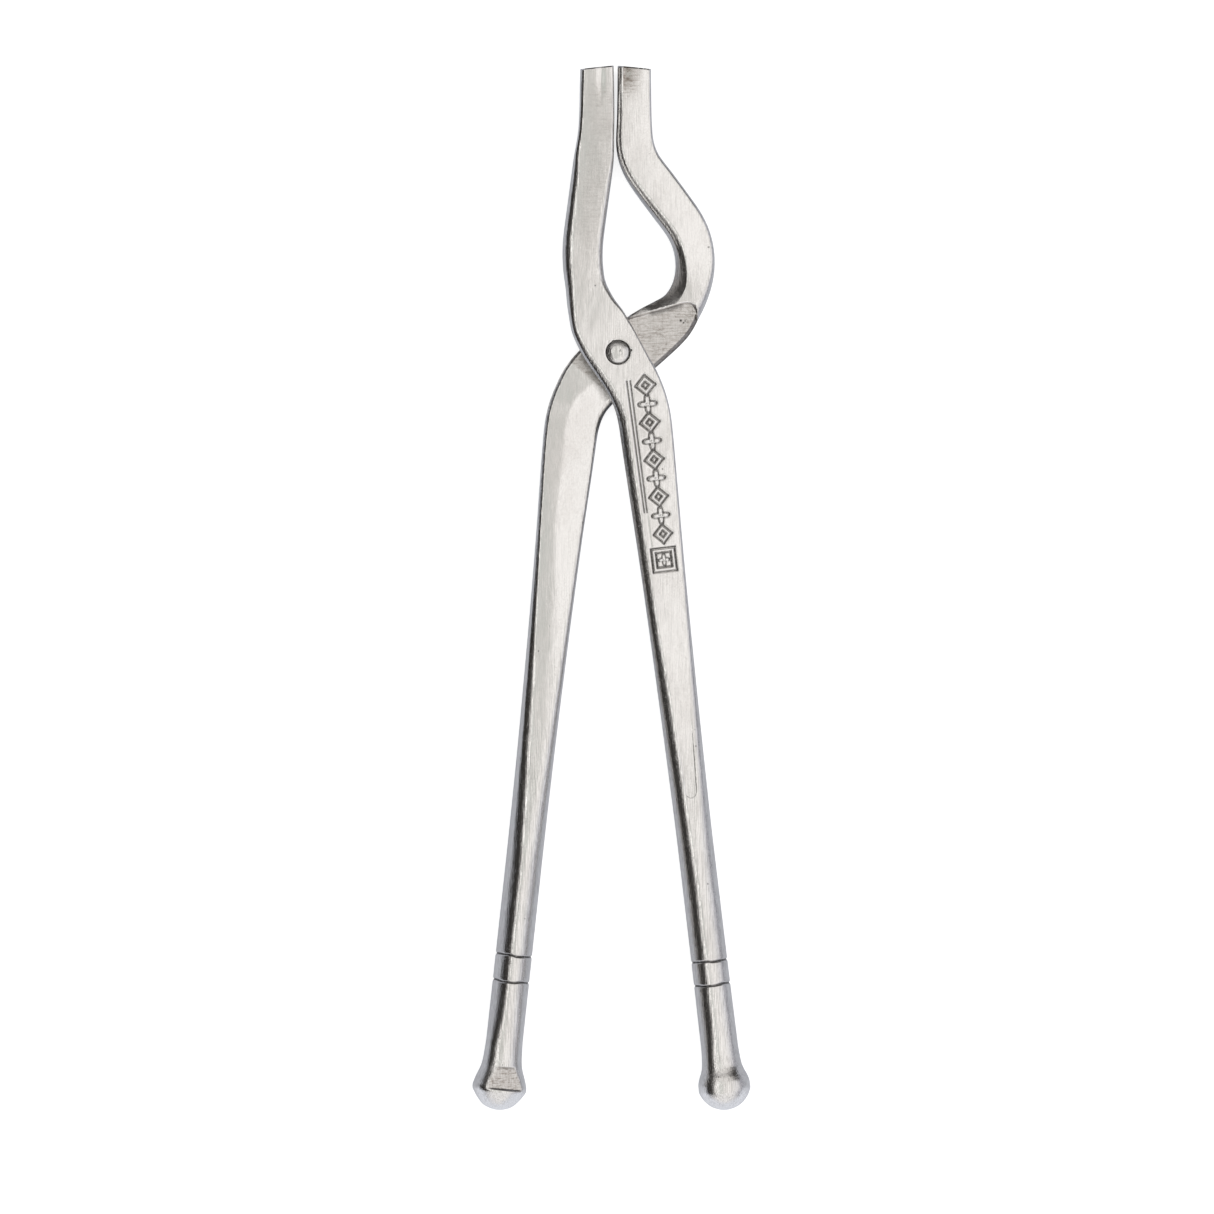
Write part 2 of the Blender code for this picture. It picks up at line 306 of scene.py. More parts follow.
@dataclass(frozen=True)
class Ornament:
    """The band of relief on the upper handle: a chain of lozenges and flowers beside a double rail."""

    rail_start: Pair = (2.1, -5.9)
    rail_end: Pair = (5.75, -33.6)
    rail_apart: Pair = (0.76, 0.56)
    rail_width: float = 0.14
    rail_depth: float = 0.24
    chain_start: Pair = (5.7, -6.9)
    chain_end: Pair = (9.4, -38.0)
    motifs: int = 9
    motif_half: Pair = (1.85, 1.8)
    flower_radius: float = 1.75
    stroke: float = 0.36
    line_width: float = 0.16
    line_depth: float = 0.34
    swell: float = 0.32
    frame_centre: Pair = (9.62, -43.4)
    frame_half: float = 2.0
    pip_radius: float = 0.30
    bead_start: Pair = (6.15, -34.6)
    bead_end: Pair = (6.95, -40.6)
    beads: int = 9

    @staticmethod
    def _local(x: Array, y: Array, start: Pair, end: Pair) -> tuple[Array, Array, float]:
        """Reads places against the straight line from start to end.

        Args:
            x: Places across the tool.
            y: Places along it.
            start: The line's start.
            end: The line's end.

        Returns:
            The distances along it, the distances across it, and its length.
        """
        length = math.hypot(end[0] - start[0], end[1] - start[1])
        ux, uy = (end[0] - start[0]) / length, (end[1] - start[1]) / length
        along = (x - start[0]) * ux + (y - start[1]) * uy
        across = (y - start[1]) * ux - (x - start[0]) * uy
        return along, across, length

    def _stroke(self, distance: Array) -> Array:
        """A raised stroke with a groove on both sides, by the distance from its middle line.

        Args:
            distance: Distances from the middle line.

        Returns:
            Heights over the plain face.
        """
        off = np.abs(distance)
        groove = np.exp(-(((off - self.stroke - self.line_width) / self.line_width) ** 2))
        return self.swell * smooth(self.stroke, 0.4 * self.stroke, off) - self.line_depth * groove

    def _rails(self, x: Array, y: Array) -> Array:
        """Two parallel grooves, each a bell curve across, that fade in and out at their ends.

        Args:
            x: Places across the tool.
            y: Places along it.

        Returns:
            Heights over the plain face.
        """
        along, across, length = self._local(x, y, self.rail_start, self.rail_end)
        on = smooth(-0.25, 0.15, along) * smooth(length + 0.25, length - 0.15, along)
        apart = np.interp(along, (0.0, length), self.rail_apart)
        off = np.abs(np.abs(across) - apart / 2.0)
        return -self.rail_depth * on * np.exp(-((off / self.rail_width) ** 2))

    def _lozenge(self, a: Array, b: Array) -> Array:
        """A raised lozenge outline |a|/A + |b|/B = 1 with a smaller solid lozenge in its middle.

        Args:
            a: Distances from the motif's middle along the chain.
            b: Distances from it across the chain.

        Returns:
            Heights over the plain face.
        """
        half_a, half_b = self.motif_half
        scale = half_a * half_b / math.hypot(half_a, half_b)
        edge = (np.abs(a) / half_a + np.abs(b) / half_b - 1.0) * scale
        core = np.minimum(edge + 2.9 * self.stroke + self.line_width, 0.0)
        pip = self.swell * smooth(0.0, -0.2, core)
        return self._stroke(edge + self.stroke) + pip

    def _flower(self, a: Array, b: Array) -> Array:
        """Four raised petals whose outline is r = R (0.70 + 0.30 cos 4t), grooved all round, with a pip.

        Args:
            a: Distances from the motif's middle along the chain.
            b: Distances from it across the chain.

        Returns:
            Heights over the plain face.
        """
        radius, angle = np.hypot(a, b), np.arctan2(b, a)
        edge = radius - self.flower_radius * (0.70 + 0.30 * np.cos(4.0 * angle))
        groove = -self.line_depth * np.exp(-(((edge - 0.1) / (1.15 * self.line_width)) ** 2))
        eye = -0.8 * self.line_depth * np.exp(-(((radius - self.pip_radius) / 0.15) ** 2))
        return self.swell * smooth(0.0, -0.4, edge) + groove + eye

    def _chain(self, x: Array, y: Array) -> Array:
        """Lozenges and flowers in turn: each point is read against the motif that it is nearest to.

        Args:
            x: Places across the tool.
            y: Places along it.

        Returns:
            Heights over the plain face.
        """
        along, across, length = self._local(x, y, self.chain_start, self.chain_end)
        pitch = length / (self.motifs - 1)
        number = np.clip(np.round(along / pitch), 0, self.motifs - 1)
        a = along - number * pitch
        taper = 1.0 + 0.08 * (1.0 - number / (self.motifs - 1))
        lozenge = self._lozenge(a / taper, across / taper)
        flower = self._flower(a / taper, across / taper)
        return np.where(number % 2 == 0, lozenge, flower) * smooth(3.0, 2.6, np.hypot(a, across))

    def _frame(self, x: Array, y: Array) -> Array:
        """A raised square frame with a four-petalled flower inside.

        Args:
            x: Places across the tool.
            y: Places along it.

        Returns:
            Heights over the plain face.
        """
        _, _, length = self._local(x, y, self.chain_start, self.chain_end)
        ux = (self.chain_end[0] - self.chain_start[0]) / length
        uy = (self.chain_end[1] - self.chain_start[1]) / length
        dx, dy = x - self.frame_centre[0], y - self.frame_centre[1]
        a, b = dx * ux + dy * uy, dy * ux - dx * uy
        box = np.maximum(np.abs(a), np.abs(b)) - self.frame_half
        return self._stroke(box) + self._flower(a * 1.45, b * 1.45) * smooth(-0.55, -0.7, box)

    def _beads(self, x: Array, y: Array) -> Array:
        """A faint row of small round dimples.

        Args:
            x: Places across the tool.
            y: Places along it.

        Returns:
            Heights over the plain face.
        """
        along, across, length = self._local(x, y, self.bead_start, self.bead_end)
        pitch = length / (self.beads - 1)
        number = np.clip(np.round(along / pitch), 0, self.beads - 1)
        return -0.08 * np.exp(-(np.hypot(along - number * pitch, across) / 0.2) ** 2)

    def height(self, x: Array, y: Array) -> Array:
        """Height of the relief over the plain face.

        Args:
            x: Places across the tool.
            y: Places along it.

        Returns:
            The sum of the rails, the chain, the frame and the beads.
        """
        return self._rails(x, y) + self._chain(x, y) + self._frame(x, y) + self._beads(x, y)


# ---------------------------------------------------------------- levers


@dataclass(frozen=True)
class Corner:
    """One rounded corner of the cross-section: its run across, its run down and its fullness.

    The corner is |across / run|^n + |down / drop|^n = 1; n is 2 for an ellipse and nears 1 for a chamfer.
    A seam is a low rib along it, left by the dies, that stands out by a bell curve of the angle.
    """

    run: Keys
    drop: Keys
    fullness: Keys = Keys(((0.0, 1.8), (1.0, 1.8)))
    seam: Keys = Keys(((0.0, 0.0), (1.0, 0.0)))


@dataclass(frozen=True)
class Knob:
    """A turned knob at the handle's end: a hollow flare, a rim, a short cone and a dome."""

    radii: tuple[Pair, ...]

    def radius(self, from_end: Array) -> Array:
        """Radius at a distance from the end; the dome's last stretch closes as a square root.

        Args:
            from_end: Distances from the handle's end.

        Returns:
            The radius at each.
        """
        keys = Keys(self.radii)
        nose = self.radii[1][0]
        dome = self.radii[1][1] * np.sqrt(np.clip(from_end / nose, 0.0, 1.0))
        return np.where(from_end < nose, dome, keys(from_end))


@dataclass
class Lever:
    """One forged lever, made by carrying a rounded cross-section along its centre line."""

    name: str
    node: str
    body: str
    side: Side
    line: CentreLine
    half_width: Keys
    outer: Keys
    inner: Keys
    crown: Keys
    tilt: Keys
    corners: dict[str, Corner]
    knob: Knob
    stretches: tuple[tuple[float, float, float], ...]
    groove_places: Pair
    jaw_inner: int
    face_points: int = 40
    corner_points: int = 12
    wall_points: int = 5
    back_points: int = 16
    tip_round: float = 0.4
    tip_slope: float = math.radians(6.0)
    tip_blend: float = 6.0
    groove_width: float = 0.24
    groove_depth: float = 0.26
    round_from: float = 98.0
    corner_most: Pair = (0.96, 0.97)
    seam_turn: float = 0.74
    seam_spread: float = 0.15
    seam_share: float = 0.7
    tip_half: float = 3.4
    cap_shares: tuple[float, ...] = (0.7, 0.4, 0.15)
    pieces: list[bpy.types.Object] = field(default_factory=list)

    def _corner(self, corner: Corner, at: Array, turn: Array, room: Array) -> tuple[Array, Array]:
        """How far a corner's points lie inside the section's side and inside its face.

        Args:
            corner: The corner.
            at: Distances along the lever, one row each.
            turn: Angles round the corner, 0 at the side and a right angle at the face.
            room: Half the section's height, which the corner may not pass.

        Returns:
            The distances from the side and from the face: run (1 - cos^(2/n)) and drop (1 - sin^(2/n)).
        """
        power = 2.0 / corner.fullness(at)[:, None]
        width = self._width(at)
        run = np.minimum(corner.run(at), self.corner_most[0] * width)[:, None]
        drop = np.minimum(corner.drop(at), self.corner_most[1] * room)[:, None]
        rib = corner.seam(at)[:, None] * np.exp(-(((turn - self.seam_turn) / self.seam_spread) ** 2))
        from_side = run * (1.0 - np.cos(turn) ** power) - self.seam_share * rib
        from_face = drop * (1.0 - np.sin(turn) ** power) - self.seam_share * rib
        return from_side, from_face

    def _width(self, at: Array) -> Array:
        """Half-width of the bar, or the knob's radius near the handle's end.

        Args:
            at: Distances along the lever.

        Returns:
            The half-width at each.
        """
        from_end = self.line.end - at
        knob = self.knob.radius(np.maximum(from_end, 0.0))
        return np.where(from_end < self.knob.radii[-1][0], knob, self.half_width(at))

    def _faces(self, at: Array) -> tuple[Array, Array]:
        """Where the top and the bottom face lie over the middle plane. The far bar is made truly round.

        Args:
            at: Distances along the lever.

        Returns:
            The heights of the top face and of the bottom face.
        """
        width = self._width(at)
        roundness = smooth(self.round_from - 25.0, self.round_from, at)
        outer = self.outer(at) * (1.0 - roundness) + width * roundness
        inner = self.inner(at) * (1.0 - roundness) - width * roundness
        return (outer, inner) if self.side is Side.TOP else (-inner, -outer)

    def _section(self, at: Array) -> tuple[Array, Array, Array, Array]:
        """The cross-section's points, going round from the right side over the top.

        Args:
            at: Distances along the lever.

        Returns:
            Places across, heights, how much each point lies on the top face, and how near it is to
            that face's edge, all indexed by distance and place round the ring.
        """
        top, bottom = self._faces(at)
        width = self._width(at)[:, None]
        room = (top - bottom) / 2.0
        turn = np.linspace(0.0, math.pi / 2.0, self.corner_points)[None, :]
        flat = np.linspace(0.0, 1.0, self.face_points + 2)[1:-1][None, :]
        back = np.linspace(0.0, 1.0, self.back_points + 2)[1:-1][None, :]
        wall = np.linspace(0.0, 1.0, self.wall_points + 2)[1:-1][None, :]
        across, height, face, edge = [], [], [], []

        def add(u: Array, z: Array, on_face: float, near_edge: Array | float) -> None:
            """Adds one stretch of the ring.

            Args:
                u: Places across.
                z: Heights.
                on_face: 1 on the top face.
                near_edge: How near the points are to its edge, from 0 to 1.
            """
            across.append(u + 0.0 * z)
            height.append(z + 0.0 * u)
            face.append(np.full(across[-1].shape, on_face))
            edge.append(near_edge + np.zeros(across[-1].shape))

        u1, z1 = self._corner(self.corners["top_right"], at, turn, room)
        u2, z2 = self._corner(self.corners["top_left"], at, turn[:, ::-1], room)
        u3, z3 = self._corner(self.corners["bottom_left"], at, turn, room)
        u4, z4 = self._corner(self.corners["bottom_right"], at, turn[:, ::-1], room)
        top, bottom = top[:, None], bottom[:, None]
        rim = smooth(math.pi / 2.0 * 0.55, math.pi / 2.0, turn)
        add(width - u1, top - z1, 0.0, rim)
        right, left = (width - u1)[:, -1:], (-width + u2)[:, :1]
        add(right + (left - right) * flat, top + 0.0 * flat, 1.0, 0.0)
        add(-width + u2, top - z2, 0.0, rim[:, ::-1])
        high, low = (top - z2)[:, -1:], (bottom + z3)[:, :1]
        add(-width + 0.0 * wall, high + (low - high) * wall, 0.0, 0.0)
        add(-width + u3, bottom + z3, 0.0, rim)
        left, right = (-width + u3)[:, -1:], (width - u4)[:, :1]
        add(left + (right - left) * back, bottom + 0.0 * back, 0.0, 0.0)
        add(width - u4, bottom + z4, 0.0, rim[:, ::-1])
        low, high = (bottom + z4)[:, -1:], (top - z1)[:, :1]
        add(width + 0.0 * wall, low + (high - low) * wall, 0.0, 0.0)
        u, z = np.hstack(across), np.hstack(height)
        crown = self.crown(at)[:, None] * (1.0 - (u / width) ** 2)
        middle = (top + bottom) / 2.0
        z = z + crown * smooth(0.3, 1.0, np.abs(z - middle) / room[:, None]) * np.sign(z - middle)
        z = z - self.tilt(at)[:, None] * (u + width) * smooth(0.0, 1.0, (z - middle) / room[:, None])
        return u, z, np.hstack(face), np.hstack(edge)

    def _grooves(self, at: Array, u: Array) -> Array:
        """Depth of the two turned grooves: bell curves of the distance from each, slightly out of true.

        Args:
            at: Distances along the lever.
            u: Places across it.

        Returns:
            The depth at each point.
        """
        depth = np.zeros_like(u)
        for number, place in enumerate(self.groove_places):
            wander = 0.10 * np.sin(0.9 * u + 2.1 * number) + 0.05 * np.sin(2.3 * u)
            off = (self.line.end - place) - at[:, None] + wander
            depth += self.groove_depth * np.exp(-((off / self.groove_width) ** 2))
        return depth

    def _shape(
        self, at: Array, x: Array, y: Array, u: Array, z: Array, face: Array
    ) -> tuple[Array, Array, Array]:
        """The lever's own cuts and relief. The plain lever has none.

        Args:
            at: Distances along the lever.
            x: Places across the tool.
            y: Places along it.
            u: Places across the lever.
            z: Heights over the middle plane.
            face: 1 on the top face.

        Returns:
            The new heights, how dark each point is painted for dirt in hollows and for painted shade, and how
            coarsely it is ground, from 0 to 1.
        """
        return z, np.zeros_like(z), np.zeros_like(z)

    def _rings(self, at: Array) -> tuple[Array, dict[str, Array]]:
        """All rings of the lever's surface, with its marks.

        Args:
            at: Distances along the lever.

        Returns:
            The points in millimetres and the named marks.
        """
        u, z, face, edge = self._section(at)
        point, way = self.line.read(at)
        side = np.stack([-way[:, 1], way[:, 0]], axis=1)
        width = self._width(at)[:, None]
        depth = self._grooves(at, u)
        reach = np.maximum(np.hypot(u, z), 0.01)
        share = 1.0 - depth / reach
        u, z = u * share, z * share
        tip = 1.0 - smooth(self.line.start, self.line.start + self.tip_blend, at)[:, None]
        back = tip * math.tan(self.tip_slope) * (width - self.jaw_inner * u)
        x = point[:, :1] + side[:, :1] * u + way[:, :1] * back
        y = point[:, 1:] + side[:, 1:] * u + way[:, 1:] * back
        z, grime_and_shade_mask, milled = self._shape(at, x, y, u, z, face)
        grime_and_shade_mask = np.maximum(grime_and_shade_mask, np.clip(depth / self.groove_depth, 0.0, 1.0))
        rings = np.stack([x, y, z + MID_HEIGHT], axis=-1)
        ground = face * (1.0 - smooth(self.round_from - 20.0, self.round_from, at))[:, None]
        return rings, {"grime_and_shade_mask": grime_and_shade_mask, "edge": edge, "ground": ground, "milled": milled}

    def _cap(self, rings: Array, marks: dict[str, Array]) -> tuple[Array, dict[str, Array]]:
        """Closes the jaw's tip: a quarter-round edge, then rings that shrink to the middle.

        Args:
            rings: The lever's rings; the first is the tip's.
            marks: The marks that go with them.

        Returns:
            The rings and marks with the tip's added in front.
        """
        centre = rings[0].mean(axis=0)
        spoke = rings[0] - centre
        ahead = centre - rings[1].mean(axis=0)
        ahead /= np.linalg.norm(ahead)
        angle = np.linspace(0.0, math.pi / 2.0, 7)[1:]
        inset = self.tip_round * (1.0 - np.cos(angle))
        push = self.tip_round * np.sin(angle)
        shares = np.concatenate([1.0 - inset / self.tip_half, self.cap_shares])
        pushes = np.concatenate([push, np.full(len(self.cap_shares), push[-1])])
        cap = centre + spoke[None] * shares[:, None, None] + ahead * pushes[:, None, None]
        count = len(shares)
        added = {mark: np.repeat(values[:1], count, axis=0) for mark, values in marks.items()}
        past_edge = np.append(angle, [1.6] * len(self.cap_shares))
        bright = smooth(0.0, 0.8, np.sin(2.0 * past_edge))
        added["edge"] = np.repeat(bright[:, None], spoke.shape[0], axis=1)
        for mark in ("grime_and_shade_mask", "ground", "milled"):
            added[mark] = np.zeros_like(added[mark])
        merged = {mark: np.vstack([added[mark][::-1], marks[mark]]) for mark in marks}
        return np.vstack([cap[::-1], rings]), merged

    def stations(self) -> Array:
        """Distances of the cross-sections: the lever's stretches, then its grooves and knob.

        Returns:
            The distances, from the jaw's tip to the handle's end.
        """
        end = self.line.end
        flare = self.knob.radii[-1][0]
        far, near = self.groove_places
        fine = 2.6 * self.groove_width
        last = self.stretches[-1][1]
        rest = (
            (last, end - far - fine, 1.0),
            (end - far - fine, end - far + fine, 0.09),
            (end - far + fine, end - near - fine, 0.6),
            (end - near - fine, end - near + fine, 0.09),
            (end - near + fine, end - flare, 1.0),
            (end - flare, end - 1.0, 0.22),
        )
        dome = end - np.linspace(1.0, 0.03, 14)[1:] ** 2
        return np.concatenate([graded((*self.stretches, *rest)), dome])

    def build(self) -> bpy.types.Object:
        """Makes the lever's mesh.

        Returns:
            The lever, at the origin.
        """
        at = self.stations()
        at[0] += self.tip_round
        rings, marks = self._cap(*self._rings(at))
        made = closed_tube(self.name, rings, marks)
        self.pieces.append(made)
        return made

    def dress(self, material: bpy.types.Material) -> None:
        """Gives the lever its finish, puts it on its body and hides the plain node that it stands for.

        Args:
            material: The finish.
        """
        for piece in self.pieces:
            piece.data.materials.append(material)
            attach(piece, self.body)
            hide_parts(self.node)
            log.info("%s: %d faces on body %s", piece.name, len(piece.data.polygons), self.body)


@dataclass(frozen=True)
class RivetSeat:
    """The worn ring round the rivet's head, with three small dents beside it."""

    radius: float = 2.38
    width: float = 0.17
    ring_depth: float = 0.42
    reach: float = 6.0
    dents: tuple[tuple[float, float, float, float], ...] = (
        (2.5, 113.0, 0.24, 0.3),
        (2.85, 133.0, 0.2, 0.12),
        (2.64, 9.5, 0.26, 0.36),
    )

    def depth(self, x: Array, y: Array) -> Array:
        """Each is a bell curve: of the distance from the ring's circle, or from the dent's middle.

        Args:
            x: Places across the tool.
            y: Places along it.

        Returns:
            The depth below the cheek.
        """
        depth = self.ring_depth * np.exp(-(((np.hypot(x, y) - self.radius) / self.width) ** 2))
        for out, angle, size, deep in self.dents:
            dx = x - out * math.cos(math.radians(angle))
            dy = y - out * math.sin(math.radians(angle))
            depth = np.maximum(depth, deep * np.exp(-(dx * dx + dy * dy) / size**2))
        return depth


@dataclass(frozen=True)
class Dish:
    """A shallow hollow in the face near a jaw's tip: a bell curve along the lever and across it."""

    deep: float
    place: float
    length: float
    across: float
    width: float

    def depth(self, from_tip: Array, u: Array) -> Array:
        """The hollow's depth, by the distance from the jaw's tip and the place across the lever."""
        along = ((from_tip - self.place) / self.length) ** 2
        return self.deep * np.exp(-along - ((u - self.across) / self.width) ** 2)


@dataclass
class UpperLever(Lever):
    """The lever on top at the joint: left jaw, lap, and the right handle with its ornament."""

    ornament: Ornament = field(default_factory=Ornament)
    tongue_end: float = 95.2
    tongue_half: float = 1.05
    tongue_step: float = 0.12
    tongue_fade: Pair = (76.0, 89.0)
    tongue_line: Pair = (80.0, 90.0)
    jaw_grinding: float = 0.34
    seat: RivetSeat = RivetSeat()
    dish: Dish = Dish(deep=0.10, place=3.2, length=2.6, across=0.9, width=0.55)

    def _shape(
        self, at: Array, x: Array, y: Array, u: Array, z: Array, face: Array
    ) -> tuple[Array, Array, Array]:
        """Adds the ornament, the rivet's seat, the ground flat's tongue and a dish at the jaw's tip.

        Args:
            at: Distances along the lever.
            x: Places across the tool.
            y: Places along it.
            u: Places across the lever.
            z: Heights over the middle plane.
            face: 1 on the top face.

        Returns:
            The new heights, the mask of dirt and painted shade, and the grinding, as in a plain lever.
        """
        relief = self.ornament.height(x, y) * face
        seat = self.seat.depth(x, y) * face * (np.abs(at) < self.seat.reach)[:, None]
        middle = 0.5 * (self.corners["top_left"].run(at) - self.corners["top_right"].run(at))[:, None]
        off = np.clip(np.abs(u - middle) / self.tongue_half, 0.0, 1.0)
        bow = self.tongue_half * (1.0 - np.sqrt(1.0 - off * off))
        on = smooth(0.0, 0.22, self.tongue_end - bow - at[:, None])
        flat = self.tongue_step * on * smooth(*self.tongue_fade, at)[:, None] * face
        dish = self.dish.depth(at[:, None] - self.line.start, u) * face
        grime_and_shade_mask = 0.74 * np.clip(-relief / FULL_RECESS, 0.0, 1.0) + np.clip(seat / FULL_RECESS, 0.0, 1.0)
        # A thin line of painted shade along the edge of the ground flat's tongue.
        edge_line = 4.0 * on * (1.0 - on) * smooth(*self.tongue_line, at)[:, None] * face
        grime_and_shade_mask = np.clip(grime_and_shade_mask + 0.7 * edge_line, 0.0, 1.0)
        on_jaw = self.jaw_grinding * smooth(-61.0, -56.0, at) * smooth(-16.0, -28.0, at)
        worn = face * on_jaw[:, None] * smooth(-3.2, 0.5, u)
        return z + relief - seat - flat - dish, grime_and_shade_mask, worn


@dataclass
class LowerLever(Lever):
    """The lever underneath: bulging right jaw, scooped lap, and the left handle."""

    scoop_from: Pair = (2.18, 7.13)
    scoop_to: Pair = (12.84, 10.04)
    scoop_side: float = 16.6
    scoop_corner: float = 3.2
    scoop_covered: float = 2.33
    scoop_fillet: float = 0.3
    scoop_wall: Pair = (8.0, 26.0)
    scoop_reach: float = -26.0
    edge_run: float = 0.95
    edge_slope: float = 0.85
    crease: Keys = Keys((
        (0.0, 2.2), (8.0, 0.5), (14.0, -1.0), (38.0, -0.9), (57.0, 0.5), (75.0, 1.5), (92.0, 1.6),
        (112.0, 0.9), (140.0, 0.5),
    ))
    crease_blend: Keys = Keys(((0.0, 0.25), (16.0, 0.4), (40.0, 1.0), (90.0, 1.8)))
    crease_slope: Keys = Keys((
        (0.0, 0.0), (4.0, 0.06), (20.0, 0.065), (60.0, 0.055), (86.0, 0.04), (100.0, 0.10),
        (112.0, 0.17), (138.0, 0.17), (147.0, 0.0),
    ))
    upper_edge: Pair = (0.543, -0.840)
    knob_flat_from: float = 9.2
    knob_flat_height: float = 3.86
    knob_flat_slope: float = 0.12
    knob_flat_turn: float = math.radians(16.0)
    scoop_last: float = 8.0
    lap_level: float = -1.2
    top_level: float = -1.0
    back_level: float = -4.0
    tip_patch_along: Pair = (10.0, 0.5)
    tip_patch_across: Pair = (2.6, -2.0)
    tip_grinding: float = 1.8
    contact_point: Pair = (-6.6, -1.5)
    contact_reach: float = 3.4
    # Strength of the painted shade beside the upper lever's edge.
    contact_painted_shade: float = 0.52
    # Strength of the painted shade down the side where the handles part.
    crotch_painted_shade: float = 0.75
    # Strength of the painted shade under the scooped lap's border.
    scoop_painted_shade: float = 0.55
    scoop_pits: tuple[tuple[float, float, float], ...] = (
        (13.2, 6.8, 0.34),
        (13.75, 6.35, 0.22),
        (14.1, 6.7, 0.18),
    )
    seat: RivetSeat = RivetSeat()
    dish: Dish = Dish(deep=0.20, place=0.8, length=2.4, across=-1.9, width=0.9)

    def _inside_scoop(self, x: Array, y: Array) -> Array:
        """Distance inside the scooped lap's border: a line and an upright joined by a round corner.

        Left of where the upper lever covers it, the scoop runs on without a border, to leave that lever room.

        Args:
            x: Places across the tool.
            y: Places along it.

        Returns:
            Distances, less than 0 outside the scoop.
        """
        dx, dy = self.scoop_to[0] - self.scoop_from[0], self.scoop_to[1] - self.scoop_from[1]
        below = ((x - self.scoop_from[0]) * dy - (y - self.scoop_from[1]) * dx) / math.hypot(dx, dy)
        return np.maximum(soft_min(below, self.scoop_side - x, self.scoop_corner), self.scoop_covered - x)

    def _scoop(self, x: Array, inside: Array, from_side: Array) -> Array:
        """Height of the scooped lap: flat, with a hollow fillet and a steep wall along its border.

        At a distance d inside the border the fillet is R - sqrt(R^2 - (R - d)^2); outside it the wall rises
        in a straight slope, and along the lever's own side the lap falls away in another.

        Args:
            x: Places across the tool.
            inside: Distances inside the border.
            from_side: Distances inside the lever's right side.

        Returns:
            Heights over the middle plane.
        """
        radius = self.scoop_fillet
        hollow = np.clip(radius - inside, 0.0, radius)
        fillet = radius - np.sqrt(np.maximum(radius**2 - hollow**2, 0.0))
        steep = self.scoop_wall[0] + (self.scoop_wall[1] - self.scoop_wall[0]) * smooth(13.0, 16.0, x)
        lap = -LAP_FACE + fillet + steep * np.maximum(-inside, 0.0)
        fall = -LAP_FACE - self.edge_slope * (self.edge_run - from_side) + OUT_OF_REACH * (inside < -0.05)
        return soft_min(lap, fall, 0.12)

    def _knob_flat(self, at: Array, u: Array) -> Array:
        """Height of the ground flat on the knob's flare: a plane tilted to the right and towards the end.

        Args:
            at: Distances along the lever.
            u: Places across it.

        Returns:
            Heights over the middle plane, out of reach beyond the flat.
        """
        from_end = (self.line.end - at)[:, None]
        past = self.knob_flat_from - np.minimum(from_end, 13.0)
        rise = self.knob_flat_height + self.knob_flat_slope * past
        plane = (rise - u * math.sin(self.knob_flat_turn)) / math.cos(self.knob_flat_turn)
        return plane + OUT_OF_REACH * (smooth(9.3, 9.7, from_end) + smooth(4.6, 4.1, from_end))

    def _shape(
        self, at: Array, x: Array, y: Array, u: Array, z: Array, face: Array
    ) -> tuple[Array, Array, Array]:
        """Cuts the scooped lap out of the jaw's root and the flat on the knob, and folds the handle's face.

        Args:
            at: Distances along the lever.
            x: Places across the tool.
            y: Places along it.
            u: Places across the lever.
            z: Heights over the middle plane.
            face: 1 on the top face.

        Returns:
            The new heights, the mask of dirt and painted shade, and the grinding, as in a plain lever.
        """
        near = smooth(self.scoop_reach, self.scoop_reach + 1.0, at)[:, None] * (at < self.scoop_last)[:, None]
        inside = self._inside_scoop(x, y)
        from_side = self._width(at)[:, None] - u
        scoop = self._scoop(x, inside, from_side) + OUT_OF_REACH * (1.0 - near)
        cut = soft_min(z, scoop, 0.01 + 0.19 * smooth(0.5, 0.0, inside))
        plane = self._knob_flat(at, u)
        flat = soft_min(cut, plane, 0.03)
        from_tip = at[:, None] - self.line.start
        dish = self.dish.depth(from_tip, u) * face
        by_rivet = (z < self.back_level) * (np.abs(at) < self.seat.reach)[:, None] * (np.abs(u) < 4.0)
        seat = self.seat.depth(x, y) * by_rivet
        floor = near * (z > self.lap_level) * smooth(-0.1, 0.1, inside)
        ground_knob = smooth(-0.02, 0.05, cut - plane) * (z > 0.0)
        tip = face * smooth(*self.tip_patch_along, from_tip) * smooth(*self.tip_patch_across, u)
        milled = np.clip(floor + ground_knob, 0.0, 1.0) + self.tip_grinding * tip
        shade, band = self._scoop_pits_and_shade(x, y, inside, from_side, floor)
        # A darker strip at the upper end of the knob's ground flat, added to the band of painted shade down
        # the lap's side.
        knob_strip_and_side_shade = 0.5 * ground_knob * smooth(8.0, 9.4, self.line.end - at[:, None]) + band
        joint = self._joint_painted_shade(at, x, y, z, face, from_side)
        # The mask adds the dark seat ring, the painted shade and pits on the lap, the knob strip and the
        # painted shade by the joint.
        grime_and_shade_mask = np.clip(seat / FULL_RECESS + shade + knob_strip_and_side_shade + joint, 0.0, 1.0)
        return flat - dish - self._ridge(at, u, z) + seat, grime_and_shade_mask, milled

    def _ridge(self, at: Array, u: Array, z: Array) -> Array:
        """How far the handle's face falls away on both sides of its fold: a slope rounded over a width.

        Args:
            at: Distances along the lever.
            u: Places across it.
            z: Heights over the middle plane.

        Returns:
            The fall at each point of the top side.
        """
        blend = self.crease_blend(at)[:, None]
        off = np.hypot(u - self.crease(at)[:, None], blend) - blend
        return self.crease_slope(at)[:, None] * off * (z > self.top_level) * smooth(0.0, 1.0, at)[:, None]

